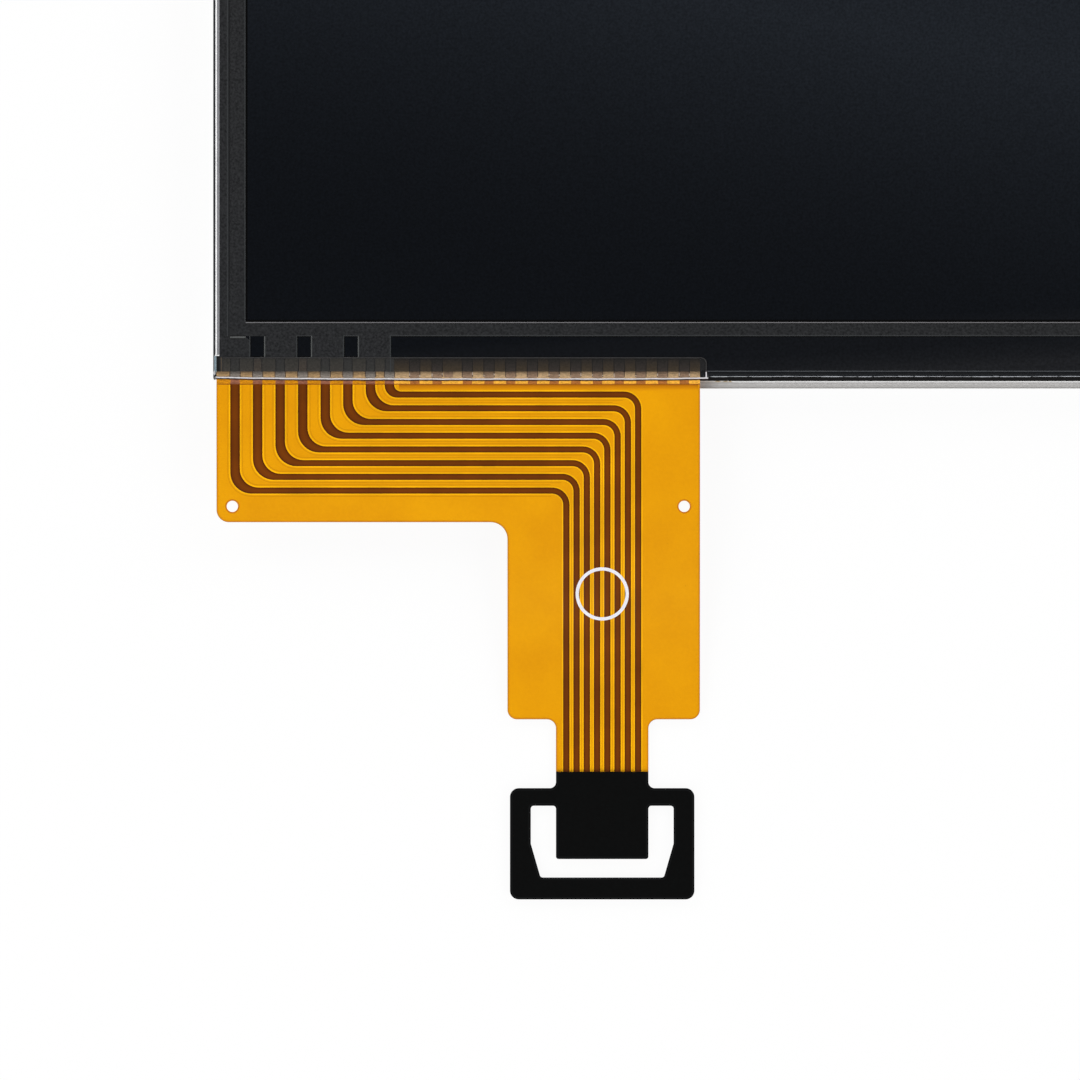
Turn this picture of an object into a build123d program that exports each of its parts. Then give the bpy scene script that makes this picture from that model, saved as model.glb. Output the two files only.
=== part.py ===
from build123d import *
import math
import os

# LCD touchscreen lying on its back: a display module, a resistive touch sensor on its face,
# and the sensor's printed circuit tail, which leaves by the lower edge and droops to the table.
# X runs along the display, Y up its face, Z out of its front. The origin is the middle of the
# module's flat back. All sizes are in millimetres.

os.makedirs("parts", exist_ok=True)

# Driving sizes of the display module
module_length = 165.0
module_height = 100.0
steel = 0.3
fold_gap = 0.05
fold_radius = 0.45
bezel_rear_gap = 0.15
relief_length = 1.8
relief_height = 0.9
side_border = 3.17
top_border = 3.2
bottom_border = 6.48
bezel_window_gap = 0.4
pan_wall_height = 2.0
bead_width = 1.6
bead_depth = 0.12
bead_inset = 14.0
bead_radius = 6.0
hook_length = 5.4
hook_height = 0.65
hook_reach = 0.2
hook_level = 1.1
hook_spacing = 44.0
hooks_per_side = 4
slot_gap = 0.3

# Driving sizes of the display cell and its moulded frame
cell_side_wall = 1.1
cell_gap = 0.1
cell_ledge = 0.9
frame_corner = 1.0
tft_thickness = 0.5
liquid_gap = 0.05
seal_width = 0.8
filter_thickness = 0.5
polariser_thickness = 0.15
driver_ledge = 3.0
chip_length = 22.0
chip_width = 1.2
chip_height = 0.35
chip_spacing = 46.0
chip_count = 3

# Driving sizes of the backlight
reflector_thickness = 0.1
guide_thickness = 1.0
diffuser_thickness = 0.1
prism_thickness = 0.1
ledge_thickness = 0.3
led_strip_width = 2.1
led_strip_thickness = 0.1
led_length = 3.0
led_depth = 1.1
led_height = 0.8
led_pitch = 9.0
led_count = 16
guide_bottom_rail = 0.5

# Driving sizes of the control board and the display's own flexible circuit
board_length = 118.0
board_width = 4.6
board_thickness = 0.6
board_gap = 0.1
bay_wall = 0.3
socket_end_gap = 9.0
socket_length = 28.0
socket_width = 3.6
socket_height = 1.0
socket_mouth_width = 1.0
socket_wall = 0.8
backlight_socket_end_gap = 10.5
backlight_socket_length = 5.0
part_length = 1.6
part_width = 0.8
part_height = 0.5
part_pitch = 3.2
part_count = 5
part_row_gap = 6.3
flex_width = 38.0
flex_thickness = 0.1
flex_bend = 0.35
flex_bond = 1.0
flex_wall_gap = 0.15

# Driving sizes of the touch sensor
glass_side_inset = 0.1
glass_bottom_inset = 1.12
glass_thickness = 1.1
glass_chamfer = 0.1
gasket_thickness = 0.3
gasket_inset = 0.5
gasket_bottom_reach = 0.29
film_setback = 0.53
film_thickness = 0.19
spacer_width = 0.87
sealant_width = 0.4
sealant_height = 0.26
sealant_bulge = 0.7
mask_thickness = 0.04
mask_band = 1.38
mask_window_width = 1.34
mask_window_height = 2.05
mask_window_pitch = 4.57
mask_window_inset = 3.64
mask_window_count = 3
mask_wedge_width = 0.55
mask_wedge_height = 0.45
mask_line_inset = 1.46
mask_line_width = 0.14
bar_width = 0.5
bar_gap = 0.35
silver_thickness = 0.02

# Driving sizes of the tail, in its plan
tail_side_inset = 0.34
tail_width = 47.14
tail_entry = 3.07
tail_corner = 1.2
wide_part_height = 16.1
column_width = 18.77
column_height = 19.24
column_corner = 0.93
step_fillet = 1.65
neck_width = 9.02
neck_offset = 9.53
neck_height = 5.12
neck_fillet = 0.88
tooling_hole_radius = 0.55
tooling_hole_inset = 1.54
coverlay_start = 0.4
ring_radius = 2.6
ring_line = 0.32
ring_drop = 7.0

# Driving sizes of the tail's films and copper
base_thickness = 0.05
copper_thickness = 0.035
coverlay_skin = 0.05
ink_thickness = 0.02
bond_thickness = 0.015
trace_count = 8
lead_width = 0.92
lead_pitch = 2.2
lead_inset = 1.81
last_lead_shift = 0.35
run_width = 0.58
run_pitch = 1.337
run_bottom_inset = 3.08
contact_pitch = 1.0
contact_width = 0.6
lead_bend = 2.05
last_lead_bend = 1.2
contact_bend = 1.4
contact_tip_gap = 0.2
contact_bare_length = 4.0
pad_pitch = 2.115
pad_count = 11
pad_right_inset = 1.53
pair_pad_pitch = 2.18
pair_pad_gap = 2.95
pad_end = 0.44

# Driving sizes of the black end and of the tail's droop
stiffener_thickness = 0.25
stem_height = 1.6
frame_width = 18.0
frame_height = 10.86
frame_radius = 0.86
top_bar = 1.72
side_bar = 2.03
bottom_bar = 2.14
stem_fillet = 0.6
slot_taper = 0.95
slot_taper_height = 3.3
slot_radius = 0.3
tongue_length = 5.2
tongue_radius = 0.25
tip_clearance = 0.35
droop_start_gap = 0.6
first_bend_share = 0.55

# Driving sizes of the clear tape over the bonding row
tape_thickness = 0.05
tape_overhang = 0.68
tape_reach = 0.15
tape_corner = 0.6
tape_slope = 0.28

# Levels, worked out from the stack of layers
guide_bottom = steel + reflector_thickness
guide_top = guide_bottom + guide_thickness
diffuser_top = guide_top + diffuser_thickness
lower_prism_top = diffuser_top + prism_thickness
ledge_bottom = lower_prism_top + prism_thickness
ledge_top = ledge_bottom + ledge_thickness
tft_top = ledge_top + tft_thickness
filter_bottom = tft_top + liquid_gap
filter_top = filter_bottom + filter_thickness
polariser_top = filter_top + polariser_thickness
module_top = polariser_top + steel
glass_bottom = module_top + gasket_thickness
glass_top = glass_bottom + glass_thickness
tail_back = glass_top + bond_thickness
copper_bottom = base_thickness
copper_top = base_thickness + copper_thickness
film_bottom = tail_back + copper_top
film_top = film_bottom + film_thickness
mask_top = film_top + mask_thickness


def inset(area, by):
    """Draw in all four sides of an area given as left, right, low, high."""
    left, right, low, high = area
    return (left + by, right - by, low + by, high - by)


def outline(area, radius=0.0, mode=Mode.ADD):
    """A rectangle, with round corners where a radius is given, in the current sketch."""
    left, right, low, high = area
    with Locations(((left + right) / 2, (low + high) / 2)):
        if radius > 0:
            RectangleRounded(right - left, high - low, radius, mode=mode)
        else:
            Rectangle(right - left, high - low, mode=mode)


def plate(area, bottom, top, radius=0.0, mode=Mode.ADD):
    """A flat layer of the current part, from one level to another."""
    with BuildSketch(Plane.XY.offset(bottom)) as plan:
        outline(area, radius)
    extrude(plan.sketch, amount=top - bottom, mode=mode)


def finish(piece, name):
    """Name a finished piece and write it."""
    piece.part.label = name
    export_step(piece.part, f"parts/{name}.step")


# Areas in plan, each as left, right, low, high
half_length = module_length / 2
half_height = module_height / 2
module_area = (-half_length, half_length, -half_height, half_height)
view_area = (
    -half_length + side_border,
    half_length - side_border,
    -half_height + bottom_border,
    half_height - top_border,
)
bezel_window = inset(view_area, -bezel_window_gap)
pan_area = inset(module_area, steel + fold_gap)
frame_area = inset(pan_area, steel + fold_gap)
cell_cavity = inset(frame_area, cell_side_wall)
cell_area = inset(cell_cavity, cell_gap)
ledge_window = (
    cell_area[0] + cell_ledge,
    cell_area[1] - cell_ledge,
    view_area[2] - bezel_window_gap - cell_gap,
    cell_area[3] - cell_ledge,
)
guide_cavity = (
    cell_cavity[0],
    cell_cavity[1],
    ledge_window[2] - cell_gap + guide_bottom_rail,
    cell_cavity[3],
)
sheet_area = (
    guide_cavity[0] + cell_gap,
    guide_cavity[1] - cell_gap,
    guide_cavity[2] + cell_gap,
    guide_cavity[3] - cell_gap - led_strip_width,
)
hook_places = [
    (column - (hooks_per_side - 1) / 2) * hook_spacing for column in range(hooks_per_side)
]


def wall_slots(reach):
    """Windows through both long walls, for the moulded frame's hooks."""
    for place in hook_places:
        slot = (
            place - hook_length / 2 - slot_gap,
            place + hook_length / 2 + slot_gap,
            -half_height - reach,
            half_height + reach,
        )
        plate(slot, hook_level - slot_gap, hook_level + hook_height + slot_gap, mode=Mode.SUBTRACT)


# Pressed steel bezel: a window plate with four folded walls, relieved at its corners
with BuildPart() as front_bezel:
    plate(module_area, bezel_rear_gap, module_top)
    top_edges = front_bezel.faces().sort_by(Axis.Z)[-1].edges()
    fillet(top_edges, radius=fold_radius)
    wall_slots(steel)
    plate(inset(module_area, steel), bezel_rear_gap, polariser_top, mode=Mode.SUBTRACT)
    plate(bezel_window, polariser_top, module_top, radius=fold_radius, mode=Mode.SUBTRACT)
    with BuildSketch(Plane.XY):
        with GridLocations(
            module_length - relief_length, module_height - relief_height, 2, 2
        ):
            Rectangle(relief_length, relief_height)
    extrude(amount=module_top, mode=Mode.SUBTRACT)
finish(front_bezel, "front_bezel")

# Control board, its sockets and its small parts, in the bay under the cell's lower edge
board_top = ledge_bottom
board_bottom = board_top - board_thickness
bay_high = guide_cavity[2] - guide_bottom_rail
bay_low = frame_area[2] + bay_wall
board_high = bay_high - board_gap
board_area = (-board_length / 2, board_length / 2, board_high - board_width, board_high)
socket_middle = (board_area[2] + board_area[3]) / 2
socket_area = (
    board_area[1] - socket_end_gap - socket_length,
    board_area[1] - socket_end_gap,
    socket_middle - socket_width / 2,
    socket_middle + socket_width / 2,
)
backlight_socket_area = (
    board_area[0] + backlight_socket_end_gap,
    board_area[0] + backlight_socket_end_gap + backlight_socket_length,
    socket_area[2],
    socket_area[3],
)
flex_notch = (
    -flex_width / 2 - slot_gap,
    flex_width / 2 + slot_gap,
    -half_height,
    cell_cavity[2],
)

# Pressed steel pan: a tray with coined beads, and windows where the sockets are reached
with BuildPart() as rear_pan:
    plate(pan_area, 0, pan_wall_height, radius=frame_corner + fold_gap + steel)
    bottom_edges = rear_pan.faces().sort_by(Axis.Z)[0].edges()
    fillet(bottom_edges, radius=fold_radius)
    wall_slots(steel)
    plate(
        inset(pan_area, steel),
        steel,
        pan_wall_height,
        radius=frame_corner + fold_gap,
        mode=Mode.SUBTRACT,
    )
    for window in (socket_area, backlight_socket_area):
        plate(inset(window, -slot_gap), 0, steel, mode=Mode.SUBTRACT)
    with BuildSketch(Plane.XY):
        outline(inset(module_area, bead_inset), bead_radius)
        outline(
            inset(module_area, bead_inset + bead_width),
            bead_radius - bead_width,
            Mode.SUBTRACT,
        )
    extrude(amount=bead_depth, mode=Mode.SUBTRACT)
finish(rear_pan, "rear_pan")

# Moulded frame: carries the cell on a ledge, with the backlight below and the board in its bay
with BuildPart() as mould_frame:
    plate(frame_area, steel, polariser_top, radius=frame_corner)
    plate(guide_cavity, steel, ledge_bottom, mode=Mode.SUBTRACT)
    plate(ledge_window, ledge_bottom, ledge_top, mode=Mode.SUBTRACT)
    plate(cell_cavity, ledge_top, polariser_top, mode=Mode.SUBTRACT)
    bay_area = (board_area[0] - board_gap, board_area[1] + board_gap, bay_low, bay_high)
    plate(bay_area, steel, ledge_bottom, mode=Mode.SUBTRACT)
    plate(flex_notch, steel, polariser_top, mode=Mode.SUBTRACT)
    for place in hook_places:
        for side in (-1, 1):
            root = side * frame_area[3]
            tip = side * (half_height - steel + hook_reach)
            hook = (
                place - hook_length / 2,
                place + hook_length / 2,
                min(root, tip),
                max(root, tip),
            )
            plate(hook, hook_level, hook_level + hook_height)
finish(mould_frame, "mould_frame")

# Backlight sheets, the clear light guide and the row of lamps along its upper edge
for name, bottom, top in (
    ("reflector_sheet", steel, guide_bottom),
    ("diffuser_sheet", guide_top, diffuser_top),
    ("lower_prism_sheet", diffuser_top, lower_prism_top),
    ("upper_prism_sheet", lower_prism_top, ledge_bottom),
):
    with BuildPart() as backlight_sheet:
        plate(sheet_area, bottom, top)
    finish(backlight_sheet, name)

with BuildPart() as light_guide:
    plate(sheet_area, guide_bottom, guide_top)
    entry_edge = light_guide.edges().filter_by(Axis.X).group_by(Axis.Y)[-1]
    chamfer(entry_edge.sort_by(Axis.Z)[-1:], length=diffuser_thickness)
finish(light_guide, "light_guide")

strip_area = (sheet_area[0], sheet_area[1], sheet_area[3], sheet_area[3] + led_strip_width)
with BuildPart() as led_strip_board:
    plate(strip_area, steel, steel + led_strip_thickness)
finish(led_strip_board, "led_strip_board")

led_level = steel + led_strip_thickness
with BuildPart() as backlight_leds:
    with BuildSketch(Plane.XY.offset(led_level)):
        with Locations((0, sheet_area[3] + led_depth / 2)):
            with GridLocations(led_pitch, 1, led_count, 1):
                Rectangle(led_length, led_depth)
    extrude(amount=led_height)
finish(backlight_leds, "backlight_leds")

# Display cell: two glasses with a sealed layer of liquid crystal, between two polarisers
with BuildPart() as rear_polariser:
    plate(inset(ledge_window, cell_gap), ledge_top - polariser_thickness, ledge_top)
finish(rear_polariser, "rear_polariser")

with BuildPart() as tft_glass:
    plate(cell_area, ledge_top, tft_top)
finish(tft_glass, "tft_glass")

filter_area = (cell_area[0], cell_area[1], cell_area[2] + driver_ledge, cell_area[3])
with BuildPart() as cell_seal:
    plate(filter_area, tft_top, filter_bottom)
    plate(inset(filter_area, seal_width), tft_top, filter_bottom, mode=Mode.SUBTRACT)
finish(cell_seal, "cell_seal")

with BuildPart() as liquid_crystal:
    plate(inset(filter_area, seal_width), tft_top, filter_bottom)
finish(liquid_crystal, "liquid_crystal")

with BuildPart() as colour_filter_glass:
    plate(filter_area, filter_bottom, filter_top)
finish(colour_filter_glass, "colour_filter_glass")

with BuildPart() as front_polariser:
    plate(inset(filter_area, cell_gap), filter_top, polariser_top)
finish(front_polariser, "front_polariser")

chip_row = filter_area[2] - driver_ledge / 3
with BuildPart() as driver_chips:
    with BuildSketch(Plane.XY.offset(tft_top)):
        with Locations((0, chip_row)):
            with GridLocations(chip_spacing, 1, chip_count, 1):
                Rectangle(chip_length, chip_width)
    extrude(amount=chip_height)
finish(driver_chips, "driver_chips")

with BuildPart() as control_board:
    plate(board_area, board_bottom, board_top)
finish(control_board, "control_board")

with BuildPart() as display_socket:
    plate(socket_area, board_bottom - socket_height, board_bottom)
    mouth = (
        socket_area[0] + socket_wall,
        socket_area[1] - socket_wall,
        socket_middle - socket_mouth_width / 2,
        socket_middle + socket_mouth_width / 2,
    )
    socket_bottom = board_bottom - socket_height
    plate(mouth, socket_bottom, board_bottom - steel, mode=Mode.SUBTRACT)
finish(display_socket, "display_socket")

with BuildPart() as backlight_socket:
    plate(backlight_socket_area, board_bottom - socket_height, board_bottom)
    mouth = inset(backlight_socket_area, socket_wall)
    plate(mouth, socket_bottom, board_bottom - steel, mode=Mode.SUBTRACT)
finish(backlight_socket, "backlight_socket")

part_row_length = part_pitch * (part_count - 1) + part_length
part_row_middle = backlight_socket_area[1] + part_row_gap + part_row_length / 2
with BuildPart() as board_parts:
    with BuildSketch(Plane.XY.offset(board_bottom - part_height)):
        with Locations((part_row_middle, socket_middle)):
            with GridLocations(part_pitch, 1, part_count, 1):
                Rectangle(part_length, part_width)
    extrude(amount=part_height)
finish(board_parts, "board_parts")

# The display's own flexible circuit: from the driver ledge, round the edge, to the board's back
flex_outer = pan_area[2] + steel + flex_wall_gap
flex_low = board_bottom - flex_thickness
flex_high = tft_top + flex_thickness
flex_inner = cell_area[2] + flex_bond
with BuildPart() as display_flex:
    with BuildSketch(Plane.YZ):
        with BuildLine():
            FilletPolyline(
                (flex_inner, tft_top),
                (flex_outer + flex_thickness, tft_top),
                (flex_outer + flex_thickness, board_bottom),
                (board_area[2] + flex_bond, board_bottom),
                (board_area[2] + flex_bond, flex_low),
                (flex_outer, flex_low),
                (flex_outer, flex_high),
                (flex_inner, flex_high),
                radius=[
                    0,
                    flex_bend - flex_thickness,
                    flex_bend - flex_thickness,
                    0,
                    0,
                    flex_bend,
                    flex_bend,
                    0,
                ],
                close=True,
            )
        make_face()
    extrude(amount=flex_width / 2, both=True)
finish(display_flex, "display_flex")

# Touch sensor: foam tape, glass, spacer adhesive, sealant, smoked film and its printed border
glass_area = (
    -half_length + glass_side_inset,
    half_length - glass_side_inset,
    -half_height + glass_bottom_inset,
    half_height - glass_side_inset,
)
film_area = inset(glass_area, film_setback)
gasket_area = (
    glass_area[0] + gasket_inset,
    glass_area[1] - gasket_inset,
    glass_area[2] - gasket_bottom_reach,
    glass_area[3] - gasket_inset,
)

with BuildPart() as panel_gasket:
    plate(gasket_area, module_top, glass_bottom)
    plate(bezel_window, module_top, glass_bottom, radius=fold_radius, mode=Mode.SUBTRACT)
finish(panel_gasket, "panel_gasket")

with BuildPart() as sensor_glass:
    plate(glass_area, glass_bottom, glass_top)
    rims = sensor_glass.faces().filter_by(Axis.Z).edges()
    chamfer(rims, length=glass_chamfer)
finish(sensor_glass, "sensor_glass")

# Main places of the tail in plan, and of the black end beyond its neck
tail_left = -half_length + tail_side_inset
tail_right = tail_left + tail_width
tail_top = -half_height + tail_entry
wide_bottom = tail_top - wide_part_height
column_left = tail_right - column_width
column_bottom = wide_bottom - column_height
neck_middle = tail_right - neck_offset
neck_left = neck_middle - neck_width / 2
neck_right = neck_middle + neck_width / 2
neck_bottom = column_bottom - neck_height
frame_left = neck_middle - frame_width / 2
frame_right = neck_middle + frame_width / 2
frame_top = neck_bottom - stem_height
frame_bottom = frame_top - frame_height
slot_top = frame_top - top_bar
slot_bottom = frame_bottom + bottom_bar
tongue_tip = slot_top - tongue_length
film_low = film_area[2]

# The sensor's clear gap: edge adhesive with an entry for the tail, and printed silver electrodes
adhesive_inner = inset(film_area, spacer_width)
with BuildPart() as spacer_adhesive:
    plate(film_area, glass_top, film_bottom)
    plate(adhesive_inner, glass_top, film_bottom, mode=Mode.SUBTRACT)
    tail_way = (film_area[0], tail_right + cell_gap, film_low, tail_top + cell_gap)
    plate(tail_way, glass_top, film_bottom, mode=Mode.SUBTRACT)
finish(spacer_adhesive, "spacer_adhesive")

# Bead of clear sealant on the glass, against the film's left and right edges
with BuildPart() as edge_sealant:
    with BuildSketch(Plane.XZ.offset(-film_area[3])):
        for side, foot in ((-1, film_area[0]), (1, film_area[1])):
            with BuildLine():
                Polyline(
                    (foot + side * sealant_width, glass_top),
                    (foot, glass_top),
                    (foot, glass_top + sealant_height),
                )
                ThreePointArc(
                    (foot, glass_top + sealant_height),
                    (
                        foot + side * sealant_width * sealant_bulge,
                        glass_top + sealant_height * sealant_bulge,
                    ),
                    (foot + side * sealant_width, glass_top),
                )
            make_face()
    extrude(amount=film_area[3] - tail_top - cell_gap)
finish(edge_sealant, "edge_sealant")


def lead_place(number):
    """Middle of a live lead across the tail's bonding row, counted from the left."""
    shift = last_lead_shift if number == trace_count - 1 else 0
    return tail_left + lead_inset + number * lead_pitch - shift


def silver(points, bottom):
    """A printed silver line of one width through a few points."""
    with BuildSketch(Plane.XY.offset(bottom)) as plan:
        with BuildLine() as route:
            Polyline(*points)
        trace(route.edges(), line_width=bar_width)
    extrude(plan.sketch, amount=silver_thickness)


bar_left = view_area[0] - bar_gap - bar_width / 2
bar_right = view_area[1] + bar_gap + bar_width / 2
bar_high = view_area[3] + bar_gap + bar_width / 2
bar_low = view_area[2] - bar_gap - bar_width / 2
crossing_low = bar_low - bar_gap - bar_width
silver_end = tail_top + cell_gap

with BuildPart() as film_busbars:
    silver([(bar_left, silver_end), (bar_left, bar_high)], film_bottom - silver_thickness)
    crossing = lead_place(3)
    silver(
        [
            (crossing, silver_end),
            (crossing, crossing_low),
            (bar_right, crossing_low),
            (bar_right, bar_high),
        ],
        film_bottom - silver_thickness,
    )
finish(film_busbars, "film_busbars")

with BuildPart() as glass_busbars:
    crossing = lead_place(5)
    silver([(crossing, silver_end), (crossing, bar_low), (bar_right, bar_low)], glass_top)
    crossing = lead_place(1)
    high = bar_high + bar_gap
    silver(
        [
            (crossing, silver_end),
            (crossing, crossing_low),
            (bar_left, crossing_low),
            (bar_left, high),
            (bar_right, high),
        ],
        glass_top,
    )
finish(glass_busbars, "glass_busbars")

with BuildPart() as sensor_film:
    plate(film_area, film_bottom, film_top)
finish(sensor_film, "sensor_film")

# Printed border: windows near the lower left corner, a long notch, and one fine open line
window_left = -half_length + mask_window_inset
window_high = view_area[2] - mask_band
window_low = window_high - mask_window_height
notch_left = window_left + mask_window_count * mask_window_pitch
line_left = -half_length + mask_line_inset
with BuildPart() as border_mask:
    with BuildSketch(Plane.XY.offset(film_top)):
        outline(film_area)
        outline(view_area, mode=Mode.SUBTRACT)
        for count in range(mask_window_count):
            left = window_left + count * mask_window_pitch
            outline(
                (left, left + mask_window_width, window_low, window_high), mode=Mode.SUBTRACT
            )
        outline((notch_left, -notch_left, film_low, window_high), mode=Mode.SUBTRACT)
        outline(
            (line_left, line_left + mask_line_width, window_high, view_area[3]),
            mode=Mode.SUBTRACT,
        )
        outline(
            (line_left, window_left, window_high - mask_line_width, window_high),
            mode=Mode.SUBTRACT,
        )
        with BuildLine():
            Polyline(
                (window_left - mask_wedge_width, window_high),
                (window_left, window_high),
                (window_left, window_high - mask_wedge_height),
                close=True,
            )
        make_face(mode=Mode.SUBTRACT)
    extrude(amount=mask_thickness)
finish(border_mask, "border_mask")

# How the tail droops: level at the panel, one bend down, one bend up, level at the black end
droop_start = -half_height - droop_start_gap
droop_length = droop_start - neck_bottom
droop_angle = 2 * math.atan((tail_back - tip_clearance) / droop_length)
bend_sum = droop_length / math.sin(droop_angle)
first_bend = bend_sum * first_bend_share
second_bend = bend_sum - first_bend


def droop_edge(height):
    """One face of the tail's stack, seen from the side, at a height over the stack's back."""
    turn = math.degrees(droop_angle)
    level = tail_back + height
    end_level = tip_clearance + height
    Line((tail_top, level), (droop_start, level))
    CenterArc((droop_start, tail_back - first_bend), first_bend + height, 90, turn)
    CenterArc(
        (neck_bottom, tip_clearance + second_bend), second_bend - height, 270 + turn, -turn
    )
    Line((neck_bottom, end_level), (frame_bottom, end_level))


def lay_along_tail(low, high):
    """Keep of the current upright prism only what lies between two faces of the stack."""
    with BuildSketch(Plane.YZ) as side:
        with BuildLine() as rim:
            droop_edge(low)
            droop_edge(high)
            Line((tail_top, tail_back + low), (tail_top, tail_back + high))
            Line((frame_bottom, tip_clearance + low), (frame_bottom, tip_clearance + high))
        make_face(rim.edges())
    extrude(side.sketch, amount=module_length, both=True, mode=Mode.INTERSECT)


def tail_outline():
    """Plan of the tail: wide part, column and neck, to the tip of the tongue, with its holes."""
    with BuildLine() as rim:
        FilletPolyline(
            (tail_left, tail_top),
            (tail_left, wide_bottom),
            (column_left, wide_bottom),
            (column_left, column_bottom),
            (neck_left, column_bottom),
            (neck_left, tongue_tip),
            (neck_right, tongue_tip),
            (neck_right, column_bottom),
            (tail_right, column_bottom),
            (tail_right, tail_top),
            radius=[
                0,
                tail_corner,
                step_fillet,
                column_corner,
                neck_fillet,
                tongue_radius,
                tongue_radius,
                neck_fillet,
                column_corner,
                0,
            ],
            close=True,
        )
    make_face(rim.edges())
    hole_level = wide_bottom + tooling_hole_inset
    with Locations(
        (tail_left + tooling_hole_inset, hole_level), (tail_right - tooling_hole_inset, hole_level)
    ):
        Circle(tooling_hole_radius, mode=Mode.SUBTRACT)


def trace_outline(number):
    """Plan of one trace: bonding lead, bend, run across, bend, and contact at the tongue."""
    lead = lead_place(number)
    run = wide_bottom + run_bottom_inset + number * run_pitch
    contact = neck_middle + (number - (trace_count - 1) / 2) * contact_pitch
    bend = last_lead_bend if number == trace_count - 1 else lead_bend
    tip = tongue_tip + contact_tip_gap
    with BuildLine() as rim:
        FilletPolyline(
            (lead - lead_width / 2, tail_top),
            (lead - lead_width / 2, run - run_width / 2),
            (contact - contact_width / 2, run - run_width / 2),
            (contact - contact_width / 2, tip),
            (contact + contact_width / 2, tip),
            (contact + contact_width / 2, run + run_width / 2),
            (lead + lead_width / 2, run + run_width / 2),
            (lead + lead_width / 2, tail_top),
            radius=[
                0,
                bend,
                contact_bend - contact_width / 2,
                0,
                0,
                contact_bend + contact_width / 2,
                bend - lead_width / 4,
                0,
            ],
            close=True,
        )
    make_face(rim.edges())


# Tail, from its back: bonding film, base film, copper, coverlay with the copper bedded in it
with BuildPart() as tail_bond:
    bond_area = (tail_left, tail_right, glass_area[2] + glass_chamfer, tail_top)
    plate(bond_area, glass_top, tail_back)
finish(tail_bond, "tail_bond")

with BuildPart() as tail_base_film:
    with BuildSketch(Plane.XY):
        tail_outline()
    extrude(amount=module_length)
    bare_area = (neck_left, neck_right, tongue_tip, tongue_tip + contact_bare_length)
    plate(bare_area, 0, module_length, mode=Mode.SUBTRACT)
    lay_along_tail(0, copper_bottom)
finish(tail_base_film, "tail_base_film")

traces = []
for number in range(trace_count):
    with BuildPart() as tail_trace:
        with BuildSketch(Plane.XY):
            trace_outline(number)
        extrude(amount=module_length)
        lay_along_tail(copper_bottom, copper_top)
    finish(tail_trace, f"tail_trace_{number + 1}")
    traces.append(tail_trace.part)

pad_last = tail_right - pad_right_inset
pad_places = [pad_last - count * pad_pitch for count in range(pad_count)]
pad_places.append(pad_places[-1] - pair_pad_gap)
pad_places.append(pad_places[-1] - pair_pad_pitch)
with BuildPart() as tail_dummy_pads:
    for place in pad_places:
        pad = (
            place - lead_width / 2,
            place + lead_width / 2,
            -half_height + pad_end,
            tail_top,
        )
        plate(pad, tail_back + copper_bottom, tail_back + copper_top)
finish(tail_dummy_pads, "tail_dummy_pads")

coverlay_top = copper_top + coverlay_skin
with BuildPart() as tail_coverlay:
    with BuildSketch(Plane.XY):
        tail_outline()
    extrude(amount=module_length)
    open_area = (tail_left, tail_right, -half_height + coverlay_start, tail_top)
    plate(open_area, 0, module_length, mode=Mode.SUBTRACT)
    lay_along_tail(copper_bottom, coverlay_top)
    for copper in traces:
        add(copper, mode=Mode.SUBTRACT)
finish(tail_coverlay, "tail_coverlay")

with BuildPart() as tail_index_ring:
    with BuildSketch(Plane.XY):
        with Locations((neck_middle, wide_bottom - ring_drop)):
            Circle(ring_radius)
            Circle(ring_radius - ring_line, mode=Mode.SUBTRACT)
    extrude(amount=module_length)
    lay_along_tail(coverlay_top, coverlay_top + ink_thickness)
finish(tail_index_ring, "tail_index_ring")

# Black end: a stem, and a frame whose U-shaped slot leaves the contact tongue free
slot_left = frame_left + side_bar
slot_right = frame_right - side_bar
taper_high = slot_bottom + slot_taper_height
end_level = tip_clearance + coverlay_top
with BuildPart() as tail_stiffener:
    with BuildSketch(Plane.XY.offset(end_level)):
        with BuildLine():
            FilletPolyline(
                (neck_left, neck_bottom),
                (neck_left, frame_top),
                (frame_left, frame_top),
                (frame_left, frame_bottom),
                (frame_right, frame_bottom),
                (frame_right, frame_top),
                (neck_right, frame_top),
                (neck_right, neck_bottom),
                radius=[
                    0,
                    stem_fillet,
                    frame_radius,
                    frame_radius,
                    frame_radius,
                    frame_radius,
                    stem_fillet,
                    0,
                ],
                close=True,
            )
        make_face()
        with BuildLine():
            FilletPolyline(
                (slot_left, slot_top),
                (slot_left, taper_high),
                (slot_left + slot_taper, slot_bottom),
                (slot_right - slot_taper, slot_bottom),
                (slot_right, taper_high),
                (slot_right, slot_top),
                (neck_right, slot_top),
                (neck_right, tongue_tip),
                (neck_left, tongue_tip),
                (neck_left, slot_top),
                radius=[
                    slot_radius,
                    slot_radius,
                    slot_radius,
                    slot_radius,
                    slot_radius,
                    slot_radius,
                    slot_radius,
                    tongue_radius,
                    tongue_radius,
                    slot_radius,
                ],
                close=True,
            )
        make_face(mode=Mode.SUBTRACT)
    extrude(amount=stiffener_thickness)
finish(tail_stiffener, "tail_stiffener")

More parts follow.
